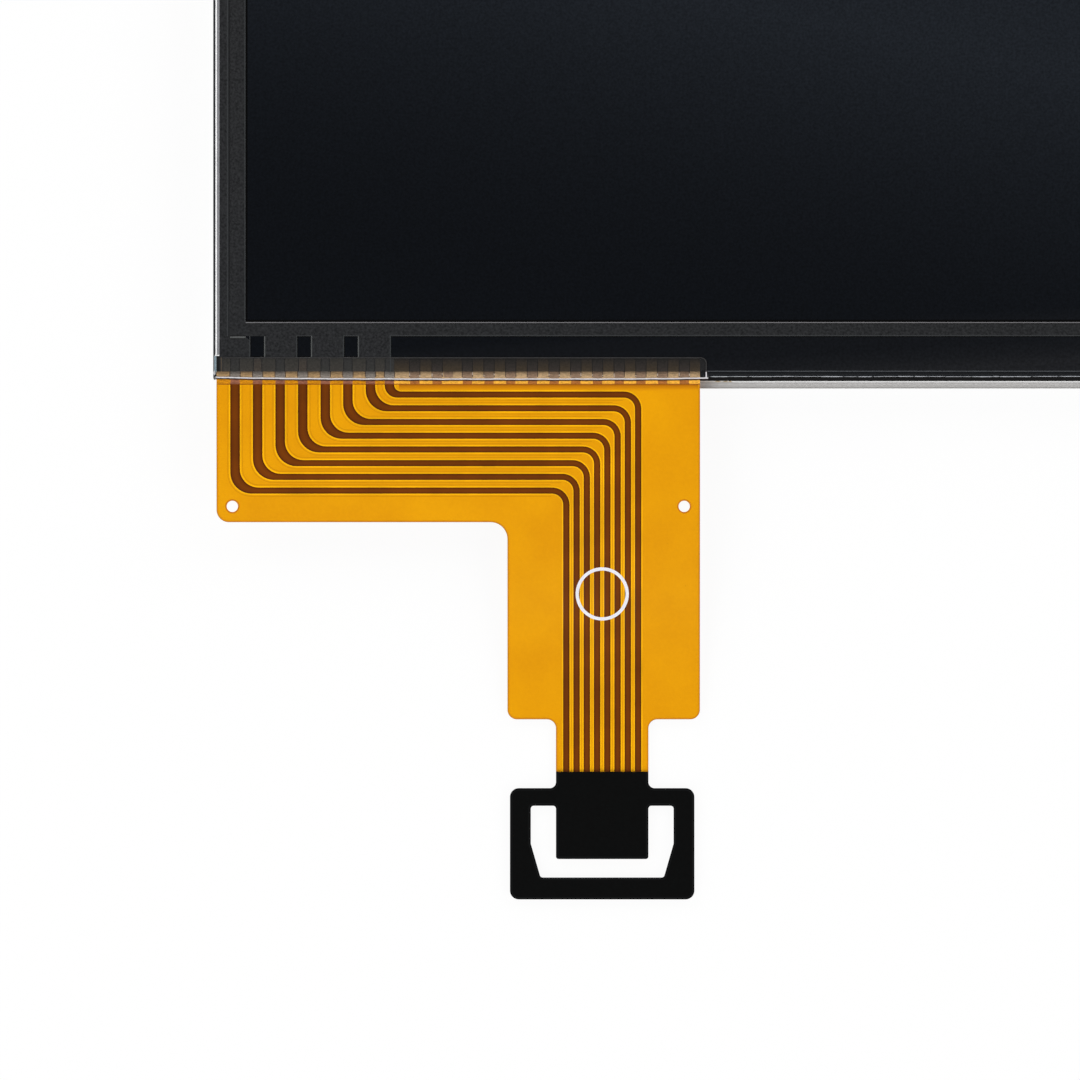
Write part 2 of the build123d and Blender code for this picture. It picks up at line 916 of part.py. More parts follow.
# Clear tape: from the printed border down over the film's edge and onto the bonding row
tape_low = glass_area[2] - tape_reach
tape_area = (-half_length, tail_right + tape_overhang, tape_low, tail_top)
with BuildPart() as bonding_cover_tape:
    with BuildSketch(Plane.XY.offset(film_bottom)):
        outline(tape_area, tape_corner)
        outline((tape_area[0], tail_left, tape_low, tail_top))
        outline((tape_area[0], tape_area[1], tape_low, film_low))
    extrude(amount=module_top)
    with BuildSketch(Plane.YZ):
        with BuildLine():
            Polyline(
                (tail_top, mask_top),
                (film_low, mask_top),
                (film_low - tape_slope, film_bottom),
                (tape_low, film_bottom),
                (tape_low, film_bottom + tape_thickness),
                (film_low - tape_slope, film_bottom + tape_thickness),
                (film_low, mask_top + tape_thickness),
                (tail_top, mask_top + tape_thickness),
                close=True,
            )
        make_face()
    extrude(amount=module_length, both=True, mode=Mode.INTERSECT)
finish(bonding_cover_tape, "bonding_cover_tape")
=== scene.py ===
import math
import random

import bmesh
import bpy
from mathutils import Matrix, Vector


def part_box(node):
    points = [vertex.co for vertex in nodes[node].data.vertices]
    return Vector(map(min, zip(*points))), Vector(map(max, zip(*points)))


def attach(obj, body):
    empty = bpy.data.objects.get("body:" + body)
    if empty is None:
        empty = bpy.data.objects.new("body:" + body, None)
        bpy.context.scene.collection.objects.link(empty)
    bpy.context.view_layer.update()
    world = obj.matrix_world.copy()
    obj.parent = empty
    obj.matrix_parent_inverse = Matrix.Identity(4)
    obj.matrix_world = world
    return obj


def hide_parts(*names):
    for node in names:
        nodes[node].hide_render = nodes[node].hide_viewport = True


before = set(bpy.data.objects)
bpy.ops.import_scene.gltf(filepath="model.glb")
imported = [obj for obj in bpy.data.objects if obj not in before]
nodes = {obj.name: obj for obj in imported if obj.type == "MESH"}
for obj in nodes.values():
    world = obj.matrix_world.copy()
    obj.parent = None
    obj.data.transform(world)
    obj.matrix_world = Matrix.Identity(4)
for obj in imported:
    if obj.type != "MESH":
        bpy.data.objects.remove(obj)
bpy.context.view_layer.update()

# %% [markdown]
# The looks of an LCD touchscreen
#
# The model is a display module with a resistive touch sensor on its face and a printed circuit
# tail that leaves by its lower edge. The imported solids already have their real size and place.
# This lesson gives each of them the finish of its real material, and adds what is too fine for
# the solids: the smooth film of the tail, the copper seen through it, and the bright and dark
# edges of tape, ink, film and glass, which are painted highlight and painted shade. First the
# size of a millimetre, and a fixed seed for the random numbers.

MM = 0.001
random.seed(11)

# %% [markdown]
# Colours are written as sRGB hex values, because that is how they are read from a swatch.
# Shaders work in linear light, so one function turns the hex value to linear. One more function
# adds a shader node with what feeds it, so that a material reads from top to bottom like a recipe.

# %% Colour and shader helpers
def linear(hex_colour):
    """Linear RGBA of an sRGB hex colour such as '#eca000'."""
    channels = [int(hex_colour[i:i + 2], 16) / 255 for i in (1, 3, 5)]
    return tuple(
        c / 12.92 if c <= 0.04045 else ((c + 0.055) / 1.055) ** 2.4 for c in channels
    ) + (1.0,)


def add_node(tree, kind, inputs=None, stops=(), **settings):
    """A shader node. Each input is a value, a socket or a node; a colour ramp also has stops."""
    made = tree.nodes.new("ShaderNode" + kind)
    for name, value in settings.items():
        setattr(made, name, value)
    for name, source in (inputs or {}).items():
        if isinstance(source, bpy.types.Node):
            source = next(socket for socket in source.outputs if socket.enabled)
        if isinstance(source, bpy.types.NodeSocket):
            tree.links.new(source, made.inputs[name])
        else:
            made.inputs[name].default_value = source
    if stops:
        elements = made.color_ramp.elements
        while len(elements) < len(stops):
            elements.new(0.5)
        for element, (position, colour) in zip(elements, stops):
            element.position = position
            element.color = colour
    return made


looks = {}


def new_tree(name):
    """The empty shader tree of a new material, which is kept under its name."""
    looks[name] = bpy.data.materials.new(name)
    looks[name].use_nodes = True
    looks[name].node_tree.nodes.clear()
    return looks[name].node_tree


# %% [markdown]
# Three steps come back in many recipes here. The last step of each is one body with a gloss, which
# may have bumps and may let a share of the light through. A colour is made lighter and darker by
# noise in the object's own millimetres, which keeps its scale from any distance. And a value rises
# along the part's Y axis, from its tail towards its far edge, or a little aslant of it.

# %% Steps that recipes share
def coat(tree, colour, roughness, ior=1.5, metallic=0.0, clear=None, bump=None):
    """The end of a recipe: a body with its gloss, its bumps and the share that is clear."""
    inputs = {"Base Color": colour, "Roughness": roughness, "IOR": ior, "Metallic": metallic}
    if bump is not None:
        inputs["Normal"] = bump
    surface = add_node(tree, "BsdfPrincipled", inputs)
    if clear is not None:
        through = add_node(tree, "BsdfTransparent")
        surface = add_node(tree, "MixShader", {0: clear, 1: surface, 2: through})
    add_node(tree, "OutputMaterial", {"Surface": surface})


def mottled(tree, colour, grain, low, high, reach=0.2):
    """The colour times a noise from low to high, with a grain in mm."""
    place = add_node(tree, "TexCoord").outputs["Object"]
    noise = add_node(tree, "TexNoise",
                     {"Scale": 1 / (grain * MM), "Detail": 3.0, "Vector": place})
    shade = add_node(tree, "MapRange", {"Value": noise, "From Min": 0.5 - reach,
                                        "From Max": 0.5 + reach, "To Min": low, "To Max": high})
    return add_node(tree, "VectorMath", {0: colour, "Scale": shade}, operation="SCALE")


def along_y(tree, start, end, low=0.0, high=1.0, slant=0.0):
    """A value that goes from low to high between two places on the Y axis, in mm."""
    place = add_node(tree, "TexCoord").outputs["Object"]
    parts = add_node(tree, "SeparateXYZ", {"Vector": place}).outputs
    way = parts["Y"]
    if slant:
        way = add_node(tree, "Math", {0: parts["X"], 1: slant, 2: way}, operation="MULTIPLY_ADD")
    return add_node(tree, "MapRange", {"Value": way, "From Min": start * MM, "From Max": end * MM,
                                       "To Min": low, "To Max": high})


# %% [markdown]
# Almost every sheet here is a plastic, glass or metal whose surface has one grain: the mottle of
# a cast film, the drag lines of rolled steel, the orange peel of printed ink. It could be painted
# as an image, but noise needs no picture and no unwrapping. So one function makes such a surface:
# two colours, a grain size in millimetres that may be stretched along the rolling direction, and a
# gloss and a height that follow the same grain.

# %% A grained surface
def grained(name, light, dark, grain, roughness, spread=0.05, height=0.0, stretch=1,
            metallic=0.0, clear=None, reach=0.5):
    """A surface whose colour, gloss and height vary with one grain, in mm."""
    tree = new_tree(name)
    place = add_node(tree, "TexCoord").outputs["Object"]
    scale = tuple(1 / (grain * MM * s) for s in (stretch, 1, 1))
    mapping = add_node(tree, "Mapping", {"Scale": scale, "Vector": place})
    noise = add_node(tree, "TexNoise",
                     {"Scale": 1.0, "Detail": 4.0, "Roughness": 0.6, "Vector": mapping})
    share = add_node(tree, "MapRange",
                     {"Value": noise, "From Min": 0.5 - reach, "From Max": 0.5 + reach})
    tone = add_node(tree, "Mix", {0: share, 6: linear(dark), 7: linear(light)}, data_type="RGBA")
    gloss = add_node(tree, "MapRange", {"Value": noise, "To Min": roughness - spread,
                                        "To Max": roughness + spread})
    bump = None
    if height > 0:
        bump = add_node(tree, "Bump",
                        {"Height": noise, "Strength": 1.0, "Distance": height * MM})
    coat(tree, tone, gloss, metallic=metallic, clear=clear, bump=bump)


# %% [markdown]
# The module is a pressed steel bezel over a steel pan. Galvanised sheet has a fine grain drawn out
# along the rolling direction, about 0.1 mm across and half a millimetre long, and a soft sheen
# rather than a mirror. The pan is the same steel, a little duller.

# %% Steel
grained("galvanised_steel", "#cfcecd", "#b4b3b2", 0.12, 0.45, 0.08, 0.004, 5, 0.3)
grained("pressed_steel", "#b4b3af", "#8a8984", 0.2, 0.48, 0.08, 0.004, 10, 0.75)

# %% [markdown]
# Hidden layers still get their own finish, because someone may take the part apart: white
# polycarbonate, silvered and matte polyester sheets, clear acrylic, green solder mask, ivory nylon.

# %% The inner layers
grained("white_polycarbonate", "#e4e3df", "#d6d5d0", 0.6, 0.5, 0.06, 0.003)
grained("silvered_polyester", "#eceef0", "#dcdfe2", 2.0, 0.18, 0.04)
grained("matte_polyester", "#eceae4", "#e0ded8", 0.3, 0.6, 0.05, 0.002)
grained("grooved_polyester", "#dfe3e6", "#c8cdd2", 0.15, 0.2, 0.05, 0.004, 40)
grained("clear_acrylic", "#e8eef0", "#dde6e9", 1.0, 0.12, 0.02, clear=0.35)
grained("polarising_film", "#0a0c0e", "#07080a", 1.5, 0.3, 0.04)
grained("display_glass", "#c8d6d4", "#bccbc9", 4.0, 0.08, 0.02, clear=0.5)
grained("sealing_resin", "#d2ccbe", "#c0b9a8", 0.5, 0.45)
grained("liquid_layer", "#a4acb4", "#969ea6", 3.0, 0.2, clear=0.3)
grained("silicon", "#3c3d44", "#2e2f36", 0.6, 0.15, 0.03, metallic=0.4)
grained("solder_mask", "#1c6a45", "#145536", 0.5, 0.35, 0.05, 0.003)
grained("ivory_nylon", "#e0dac4", "#d2cbb2", 0.3, 0.5, 0.05, 0.003)
grained("tinned_ceramic", "#96826a", "#7c6a54", 0.2, 0.45, 0.08)
grained("white_solder_mask", "#eeece2", "#e0ded2", 0.4, 0.4)
grained("phosphor_package", "#ece0a0", "#e0d088", 0.3, 0.4)
grained("silver_ink", "#b8b8b4", "#9c9c98", 0.1, 0.5, 0.08, 0.003, metallic=0.5)
grained("black_foam", "#050506", "#010102", 0.15, 0.45, 0.05, 0.004)
grained("black_adhesive", "#0c0d0f", "#050607", 0.4, 0.35)
grained("bonding_film", "#6a5a48", "#55483a", 0.1, 0.6)
grained("ground_glass", "#2c2f33", "#202327", 0.25, 0.25, 0.05, 0.002, clear=0.3)

# %% [markdown]
# The face is a smoked polyester film with a glossy hard coat. What it gives the eye is a deep
# blue-black that is painted a touch lighter towards the top of the view, as a painted reflection,
# and a lighter grey towards its lower edge, over a faint, very fine grain. A tenth of the light
# passes through it, enough to show the bonding pads beneath as dim brown bars.
# The border is printed on it in matte dark grey ink, whose orange peel shows as a salt of points.

# %% Smoked film and printed border
FACE_DARK = -54
FACE_LIGHT = -19
FACE_SLANT = 0.2
FOOT_DARK = -42
FOOT_LIGHT = -47.4
FOOT_SLANT = -0.06
FACE_GRAIN = 0.25


def smoked_polyester():
    """Blue-black film with a painted reflection up its face, letting a little light through."""
    tree = new_tree("smoked_polyester")
    # Painted reflection: the face gets lighter up the Y axis, a little aslant.
    rise = along_y(tree, FACE_DARK, FACE_LIGHT, slant=FACE_SLANT)
    steep = add_node(tree, "Math", {0: rise, 1: 2.2}, operation="POWER")
    face = add_node(tree, "Mix", {0: steep, 6: linear("#0a0d12"), 7: linear("#1d2127")},
                    data_type="RGBA")
    # Towards the film's lower edge the colour turns to a lighter grey.
    foot = along_y(tree, FOOT_DARK, FOOT_LIGHT, slant=FOOT_SLANT)
    greys = [(0.0, 0.0), (0.2, 0.2), (0.58, 0.24), (0.8, 0.5), (1.0, 1.0)]
    share = add_node(tree, "ValToRGB", {"Fac": foot},
                     stops=[(position, (grey, grey, grey, 1.0)) for position, grey in greys])
    base = add_node(tree, "Mix", {0: share, 6: face, 7: linear("#1e1f22")}, data_type="RGBA")
    toned = mottled(tree, base, FACE_GRAIN, 0.4, 1.6, reach=0.5)
    coat(tree, toned, 0.12, ior=1.45, clear=0.11)


smoked_polyester()
grained("border_ink", "#2c2d2f", "#0f1012", 0.22, 0.34, 0.04, 0.002, reach=0.2)
grained("ink_edge", "#383a3c", "#2c2e2f", 0.3, 0.3)
grained("ink_edge_bright", "#757476", "#626164", 0.4, 0.3)
grained("edge_shadow", "#020203", "#000001", 0.3, 0.12, 0.02)
# Painted shade: dark hairs beside the ink's edges and the fine line.
grained("ink_hair", "#121314", "#090a0b", 0.4, 0.3)
grained("ink_line", "#242527", "#1c1d1f", 0.4, 0.3)
# Painted highlight on the fine line's foot and the windows' right edges.
grained("ink_line_bright", "#5a5c5b", "#464848", 0.4, 0.3)
# Painted highlight along the film's cut lower edge.
grained("film_edge", "#54575b", "#3e4144", 0.3, 0.3)
grained("film_edge_tan", "#5e5040", "#40382e", 0.3, 0.3)

# %% [markdown]
# The tail is polyimide, the amber film of flexible circuits. Light goes through it, meets the white
# ground and comes back, which makes it glow a saturated yellow-orange, with a faint cloudiness a
# few millimetres across and tiny dark specks.

# %% Polyimide over the ground
CLOUD = 6.0
FINE_GRAIN = 0.3
SPECK_PITCH = 1.6
SPECK_RADII = (0.02, 0.05)


def polyimide_coverlay():
    """Amber film with a faint cloud, a fine grain and scattered specks."""
    tree = new_tree("polyimide_coverlay")
    place = add_node(tree, "TexCoord").outputs["Object"]
    cloud = add_node(tree, "TexNoise",
                     {"Scale": 1 / (CLOUD * MM), "Detail": 3.0, "Vector": place})
    grain = add_node(tree, "TexNoise",
                     {"Scale": 1 / (FINE_GRAIN * MM), "Detail": 2.0, "Vector": place})
    both = add_node(tree, "Math", {0: grain, 1: 0.35, 2: cloud}, operation="MULTIPLY_ADD")
    share = add_node(tree, "MapRange", {"Value": both, "From Min": 0.4, "From Max": 0.95})
    amber = add_node(tree, "Mix", {0: share, 6: linear("#e49800"), 7: linear("#f0a600")},
                     data_type="RGBA")
    cells = add_node(tree, "TexVoronoi", {"Scale": 1 / (SPECK_PITCH * MM), "Vector": place})
    speck = add_node(tree, "MapRange", {"Value": cells, "From Min": SPECK_RADII[0],
                                        "From Max": SPECK_RADII[1], "To Min": 0.5,
                                        "To Max": 0.0})
    rare = add_node(tree, "Math", {0: speck, 1: cloud}, operation="MULTIPLY")
    toned = add_node(tree, "Mix", {0: rare, 6: amber, 7: linear("#a86000")}, data_type="RGBA")
    bump = add_node(tree, "Bump", {"Height": grain, "Strength": 0.4, "Distance": 0.002 * MM})
    coat(tree, toned, 0.22, bump=bump)


polyimide_coverlay()
# Painted shade: the darker hair line at the foot of the pressed film.
grained("foot_line_shade", "#dc9400", "#d28c00", 1.0, 0.22, 0.02)
# Painted shade: the thin red-brown line along the coverlay's cut edge.
grained("step_line", "#8c3c0a", "#6a2a06", 0.4, 0.3)

# %% [markdown]
# A cut edge of the film is painted darker, as painted shade, and copper under the coverlay is
# dark brown, with painted shade darkest along its sides and a painted highlight as a bright line
# beside it. Such a thing needs a colour that changes across a strip. Each strip carries a value
# named across, from -1 at one side to 1 at the other, and this material looks its colour up on a
# line of stops.

# %% Strips with bands of colour
def banded(name, stops, grain, roughness, streak):
    """A strip coloured by how far across it a point lies, from -1 to 1, with streaks along it."""
    tree = new_tree(name)
    across = add_node(tree, "Attribute", attribute_name="across").outputs["Fac"]
    unit = add_node(tree, "MapRange", {"Value": across, "From Min": -1.0, "From Max": 1.0})
    bands = [((position + 1) / 2, linear(colour)) for position, colour in stops]
    ramp = add_node(tree, "ValToRGB", {"Fac": unit}, stops=bands)
    coat(tree, mottled(tree, ramp, grain, 1 - streak, 1 + streak), roughness)


# Painted light in the copper's stops: the bright line beside it is a painted highlight, and the
# darkest browns along its sides are painted shade.
to_middle = [
    (-1.0, "#e49a00"),
    (-0.94, "#fcb804"),
    (-0.74, "#fcb604"),
    (-0.69, "#481c02"),
    (-0.58, "#562402"),
    (-0.42, "#6a3202"),
]
onwards = [(-position, colour) for position, colour in reversed(to_middle)]
banded("copper_with_painted_light", to_middle + [(0.0, "#733802")] + onwards, 4.0, 0.22, 0.16)
# Painted shade along the film's cut edges and round its tooling holes.
banded("polyimide_rim", [(-1.0, "#a86008"), (-0.5, "#cc7e02"), (0.2, "#de9200"), (1.0, "#e89c00")],
       3.0, 0.25, 0.05)
banded("hole_rim", [(-1.0, "#a8500c"), (-0.3, "#c46a02"), (1.0, "#e09400")], 1.0, 0.25, 0.08)
banded("step_shade", [(-1.0, "#9c5a04"), (-0.8, "#b46802"), (-0.4, "#c47a02"), (0.2, "#d48802"),
                      (0.7, "#e29600"), (1.0, "#e89c00")], 2.0, 0.25, 0.04)

# %% [markdown]
# Where the coverlay stops, the copper and the base film lie bare: first over the module's pale
# lip, where the film is still bright, and then over the dark glass, where it turns to tan and the
# tinned pads to grey. One material with two colours, mixed by how far up the tail the point lies,
# says that plainly. A fine wavy grain, a tenth of a millimetre across, is the press mark of the
# bonding tool.

# %% Bare film and bare copper
TAPE_EDGE = -49.0
EDGE_BLUR = 0.05
ROW_DEPTH = 0.65
PRESS_GRAIN = 0.12
PRESS_WAVES = (0.45, 1.0, 1.0)


def bare_layer(name, over_lip, over_glass):
    """A bare layer of the tail, pale over the lip, darker over the glass, and darker up the row by
    painted shade.
    """
    tree = new_tree(name)
    above = along_y(tree, TAPE_EDGE - EDGE_BLUR, TAPE_EDGE + EDGE_BLUR)
    # Painted shade: brighter at the tape's edge and darker up the row towards the film's edge.
    fade = along_y(tree, TAPE_EDGE, TAPE_EDGE + ROW_DEPTH, 1.2, 0.75)
    place = add_node(tree, "TexCoord").outputs["Object"]
    stretched = add_node(tree, "Mapping", {"Scale": PRESS_WAVES, "Vector": place})
    press = add_node(tree, "TexNoise", {"Scale": 1 / (PRESS_GRAIN * MM), "Detail": 4.0,
                                        "Distortion": 0.6, "Vector": stretched})
    base = add_node(tree, "Mix", {0: above, 6: linear(over_lip), 7: linear(over_glass)},
                    data_type="RGBA")
    shade = add_node(tree, "MapRange", {"Value": press, "From Min": 0.35, "From Max": 0.65,
                                        "To Min": 0.74, "To Max": 1.26})
    faded = add_node(tree, "Math", {0: shade, 1: fade}, operation="MULTIPLY")
    toned = add_node(tree, "VectorMath", {0: base, "Scale": faded}, operation="SCALE")
    bump = add_node(tree, "Bump", {"Height": press, "Strength": 0.8, "Distance": 0.003 * MM})
    coat(tree, toned, 0.3, bump=bump)


bare_layer("polyimide_base", "#c07c08", "#aa8b63")
bare_layer("polyimide_bright", "#e2a338", "#b69872")
bare_layer("etched_copper", "#885640", "#827a72")
bare_layer("spare_copper", "#a0622c", "#8c725c")
# Painted shadow: the dark hairs beside each pad.
grained("painted_pad_shadow", "#5c4a3c", "#3c3028", 0.1, 0.4)
# Painted highlight: whitish glints on drops of bonding film beside the pads.
grained("bond_drop_highlight", "#f0e6dc", "#b49c88", 0.2, 0.3)

# %% [markdown]
# Under the smoked film the same row shows on, ten times dimmer, and brighter towards the film's
# edge, where light reaches it from the side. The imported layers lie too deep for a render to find
# them, so what one sees of them is laid on the film's face as a thin tint, with the grain of the
# film in it.

# %% The row seen through the film
FADE_LOW = -48.38
FADE_HIGH = -47.1
FILM_GRAIN = 0.2


def seen_through(name, at_edge, inside):
    """What shows through the dark film: one tint at the film's edge and one further in."""
    tree = new_tree(name)
    tint = add_node(tree, "Mix", {0: along_y(tree, FADE_LOW, FADE_HIGH), 6: linear(at_edge),
                                  7: linear(inside)}, data_type="RGBA")
    coat(tree, mottled(tree, tint, FILM_GRAIN, 0.7, 1.3), 0.25)


seen_through("film_over_polyimide", "#3e3427", "#1f1c1a")
seen_through("film_over_copper", "#342e2a", "#191817")
# Painted shadow beside the pads, seen through the film.
seen_through("film_over_pad_shadow", "#1e1b1a", "#151516")
seen_through("film_under_tape", "#1f1f20", "#17181a")
seen_through("ink_over_polyimide", "#393632", "#2e2d2a")
seen_through("ink_over_copper", "#31312f", "#2a2a2a")
seen_through("ink_over_adhesive", "#413a33", "#35312d")
# Painted shadow beside the leads, seen through the film and the ink.
seen_through("ink_over_pad_shadow", "#1e1e1f", "#191a1b")

# %% [markdown]
# The clear tape over the bonding row is polyester a twentieth of a millimetre thick. It hides
# hardly anything, but it lifts the black beneath to dark grey, and its cut edges catch the light
# as white lines. Light crosses both of its faces, so each face holds back half of the haze. The
# black end is a filled polyester sheet with a satin face, and the ring near the middle of the tail
# is white printed ink.

# %% Tape, black end and white ink
def clear_polyester():
    """Clear tape: mostly see-through, with a thin haze and a glossy face."""
    tree = new_tree("clear_polyester")
    place = add_node(tree, "TexCoord").outputs["Object"]
    noise = add_node(tree, "TexNoise",
                     {"Scale": 1 / (FILM_GRAIN * MM), "Detail": 3.0, "Vector": place})
    haze = add_node(tree, "MapRange", {"Value": noise, "To Min": 0.985, "To Max": 0.997})
    coat(tree, linear("#8c8a88"), 0.25, ior=1.45, clear=haze)


clear_polyester()
grained("tape_edge", "#f0eff2", "#b4b0b4", 0.5, 0.3, 0.05)
grained("tape_edge_faint", "#3c3b3b", "#2c2b2c", 0.4, 0.3)
grained("tape_shadow", "#38302e", "#1e1a1a", 0.4, 0.3)
grained("black_polyester", "#050606", "#010101", 0.3, 0.2, 0.02, 0.001)
grained("black_end_side", "#4a4c4e", "#323436", 0.6, 0.3)
grained("white_ink", "#f2f2f7", "#e4e4ec", 0.25, 0.5, 0.05, 0.003)
banded("black_end_rim", [(-1.0, "#000000"), (0.0, "#000000"), (0.2, "#101112"), (0.6, "#141516"),
                         (1.0, "#030404")], 3.0, 0.18, 0.1)

# %% [markdown]
# The panel's edges: clear silicone squeezed out beside the film, the cut edge of the soda-lime
# glass with a dark strip of painted shade along it and a pale blue painted highlight at its corner,
# and the small chips of its ground lower edge. Silicone reads as a white line where its flank
# mirrors the bright ground, and as grey where its crown lies level. The steel lip shows bands
# too: the shade of the glass, a bright edge that is a painted highlight, grey plate and a darker
# fold that is painted shade.

# %% Sealant, glass edge and steel lip
banded("edge_sealant", [(-1.0, "#e8e8ea"), (-0.85, "#ffffff"), (-0.48, "#f4f4f6"),
                        (-0.34, "#76767a"), (0.1, "#828286"), (0.4, "#929296"),
                        (0.62, "#a4a4a7"), (1.0, "#5e6063")], 2.5, 0.3, 0.08)
# Painted light on the lip: a bright band by the foam against the glass's shadow, and painted shade
# on the fold.
banded("lip_face", [(-1.0, "#a4a2a0"), (-0.82, "#a8a6a4"), (-0.74, "#cccac8"), (-0.3, "#d6d4d2"),
                    (0.0, "#e2e0de"), (0.32, "#e2e0de"), (0.38, "#bebcba"), (0.5, "#bebcba"),
                    (0.56, "#f8f4ee"), (1.0, "#f8f4ee")], 0.35, 0.4, 0.05)
# Painted shade along the glass's cut edge, and the dark scrap of adhesive at its corner.
grained("edge_shade_and_adhesive", "#25272c", "#15171b", 0.4, 0.3)
# Painted highlight: the pale blue glint on the glass's cut edge.
grained("glass_edge_highlight", "#b0c4ce", "#90a6b2", 0.5, 0.25)
grained("chipped_glass", "#d4d8de", "#84888e", 0.3, 0.3, 0.1)
# Sealant's own colour, also used for a small painted highlight on the corner's adhesive.
grained("sealant_and_corner_glint", "#dcdcde", "#8e9094", 0.15, 0.3, 0.1)
grained("sealant_white", "#fafafa", "#dcdcde", 0.2, 0.3, 0.05)
# Painted highlight: the white line where the lip's plate begins.
grained("lip_glint", "#ffffff", "#eeeeed", 0.6, 0.3)
grained("sealant_fleck", "#ecd8b4", "#b49c74", 0.2, 0.3)
print("mixed", len(looks), "materials")

# %% [markdown]
# Each solid keeps its mesh and gets its own finish in the first material slot. A table of names
# is shorter than a call for each solid, and shows at a glance what the module is made of.

# %% Finishes of the solids
TRACES = 8
finishes = {
    "front_bezel": "galvanised_steel",
    "rear_pan": "pressed_steel",
    "mould_frame": "white_polycarbonate",
    "reflector_sheet": "silvered_polyester",
    "light_guide": "clear_acrylic",
    "diffuser_sheet": "matte_polyester",
    "lower_prism_sheet": "grooved_polyester",
    "upper_prism_sheet": "grooved_polyester",
    "led_strip_board": "white_solder_mask",
    "backlight_leds": "phosphor_package",
    "rear_polariser": "polarising_film",
    "front_polariser": "polarising_film",
    "tft_glass": "display_glass",
    "colour_filter_glass": "display_glass",
    "cell_seal": "sealing_resin",
    "liquid_crystal": "liquid_layer",
    "driver_chips": "silicon",
    "display_flex": "polyimide_base",
    "control_board": "solder_mask",
    "display_socket": "ivory_nylon",
    "backlight_socket": "ivory_nylon",
    "board_parts": "tinned_ceramic",
    "panel_gasket": "black_foam",
    "sensor_glass": "ground_glass",
    "spacer_adhesive": "black_adhesive",
    "edge_sealant": "sealant_and_corner_glint",
    "film_busbars": "silver_ink",
    "glass_busbars": "silver_ink",
    "sensor_film": "smoked_polyester",
    "border_mask": "border_ink",
    "bonding_cover_tape": "clear_polyester",
    "tail_bond": "bonding_film",
    "tail_base_film": "polyimide_base",
    "tail_dummy_pads": "spare_copper",
    "tail_coverlay": "polyimide_coverlay",
    "tail_index_ring": "white_ink",
    "tail_stiffener": "black_polyester",
}
for number in range(TRACES):
    finishes[f"tail_trace_{number + 1}"] = "etched_copper"
for name, solid in nodes.items():
    solid.data.materials.clear()
    solid.data.materials.append(looks[finishes[name]])
print("finished", len(nodes), "solids")

# %% [markdown]
# Every fine piece finds its place from the boxes of the solids that it belongs to, in millimetres.
# The sizes below are those of the tail's plan, which no box tells: widths, pitches and radii.

# %% Places and sizes
def box_mm(node):
    """Lowest and highest corner of a solid's box, in mm."""
    low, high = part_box(node)
    return low / MM, high / MM


base_low, base_high = box_mm("tail_base_film")
end_low, end_high = box_mm("tail_stiffener")
cover_low, cover_high = box_mm("tail_coverlay")
bezel_low, bezel_high = box_mm("front_bezel")
film_low, film_high = box_mm("sensor_film")
ink_top = box_mm("border_mask")[1].z
glass_low, glass_high = box_mm("sensor_glass")
tape_low, tape_high = box_mm("bonding_cover_tape")
gasket_low, gasket_high = box_mm("panel_gasket")
pads_low, pads_high = box_mm("tail_dummy_pads")

BASE = 0.05
COVER_TOP = 0.135
DROOP_GAP = 0.6
FIRST_SHARE = 0.55
NECK = 9.02
WIDE_HEIGHT = 16.1
COLUMN_WIDTH = 18.77
COLUMN_HEIGHT = 19.24
TAIL_CORNER = 1.2
STEP_FILLET = 1.65
COLUMN_CORNER = 0.93
NECK_FILLET = 0.88
TONGUE_RADIUS = 0.25
TOOLING_INSET = 1.54
TOOLING_RADIUS = 0.55
HALF_LEAD = 0.46
HALF_RUN = 0.29
HALF_CONTACT = 0.3
LEAD_PITCH = 2.2
LEAD_INSET = 1.81
LAST_LEAD_SHIFT = 0.35
PAD_PITCH = 2.115
PAIR_PITCH = 2.18
PADS = 11

tail_left, tail_right = base_low.x, base_high.x
tail_top = base_high.y
neck_middle = (end_low.x + end_high.x) / 2
neck_left = neck_middle - NECK / 2
neck_right = neck_middle + NECK / 2
neck_bottom = end_high.y
wide_bottom = tail_top - WIDE_HEIGHT
column_left = tail_right - COLUMN_WIDTH
column_bottom = wide_bottom - COLUMN_HEIGHT
tongue_tip = cover_low.y
tooling_holes = [
    (tail_left + TOOLING_INSET, wide_bottom + TOOLING_INSET),
    (tail_right - TOOLING_INSET, wide_bottom + TOOLING_INSET),
]
lead_places = [tail_left + LEAD_INSET + number * LEAD_PITCH for number in range(TRACES)]
lead_places[-1] -= LAST_LEAD_SHIFT
pad_places = [pads_high.x - HALF_LEAD - number * PAD_PITCH for number in range(PADS)]
pad_places += [pads_low.x + HALF_LEAD + PAIR_PITCH, pads_low.x + HALF_LEAD]

# %% [markdown]
# The tail lies level where it leaves the panel, bends down, bends back up and ends level on the
# ground. Every fine piece on it has to sit on that curve, so the curve is worked out once, from the
# same few sizes as the solids: two arcs that meet with one slope. The clear tape has a profile of
# its own: level on the ink, down over the film's edge, and level on the bonding row. Everything
# else lies on a flat face.

# %% Levels along the tail and the tape
TAPE_SLOPE = 0.28
panel_level = base_high.z - BASE
end_level = base_low.z
droop_start = bezel_low.y - DROOP_GAP
droop_run = droop_start - neck_bottom
droop_turn = 2 * math.atan((panel_level - end_level) / droop_run)
first_bend = FIRST_SHARE * droop_run / math.sin(droop_turn)
second_bend = (1 - FIRST_SHARE) * droop_run / math.sin(droop_turn)
film_top = film_high.z
row_level = film_low.z


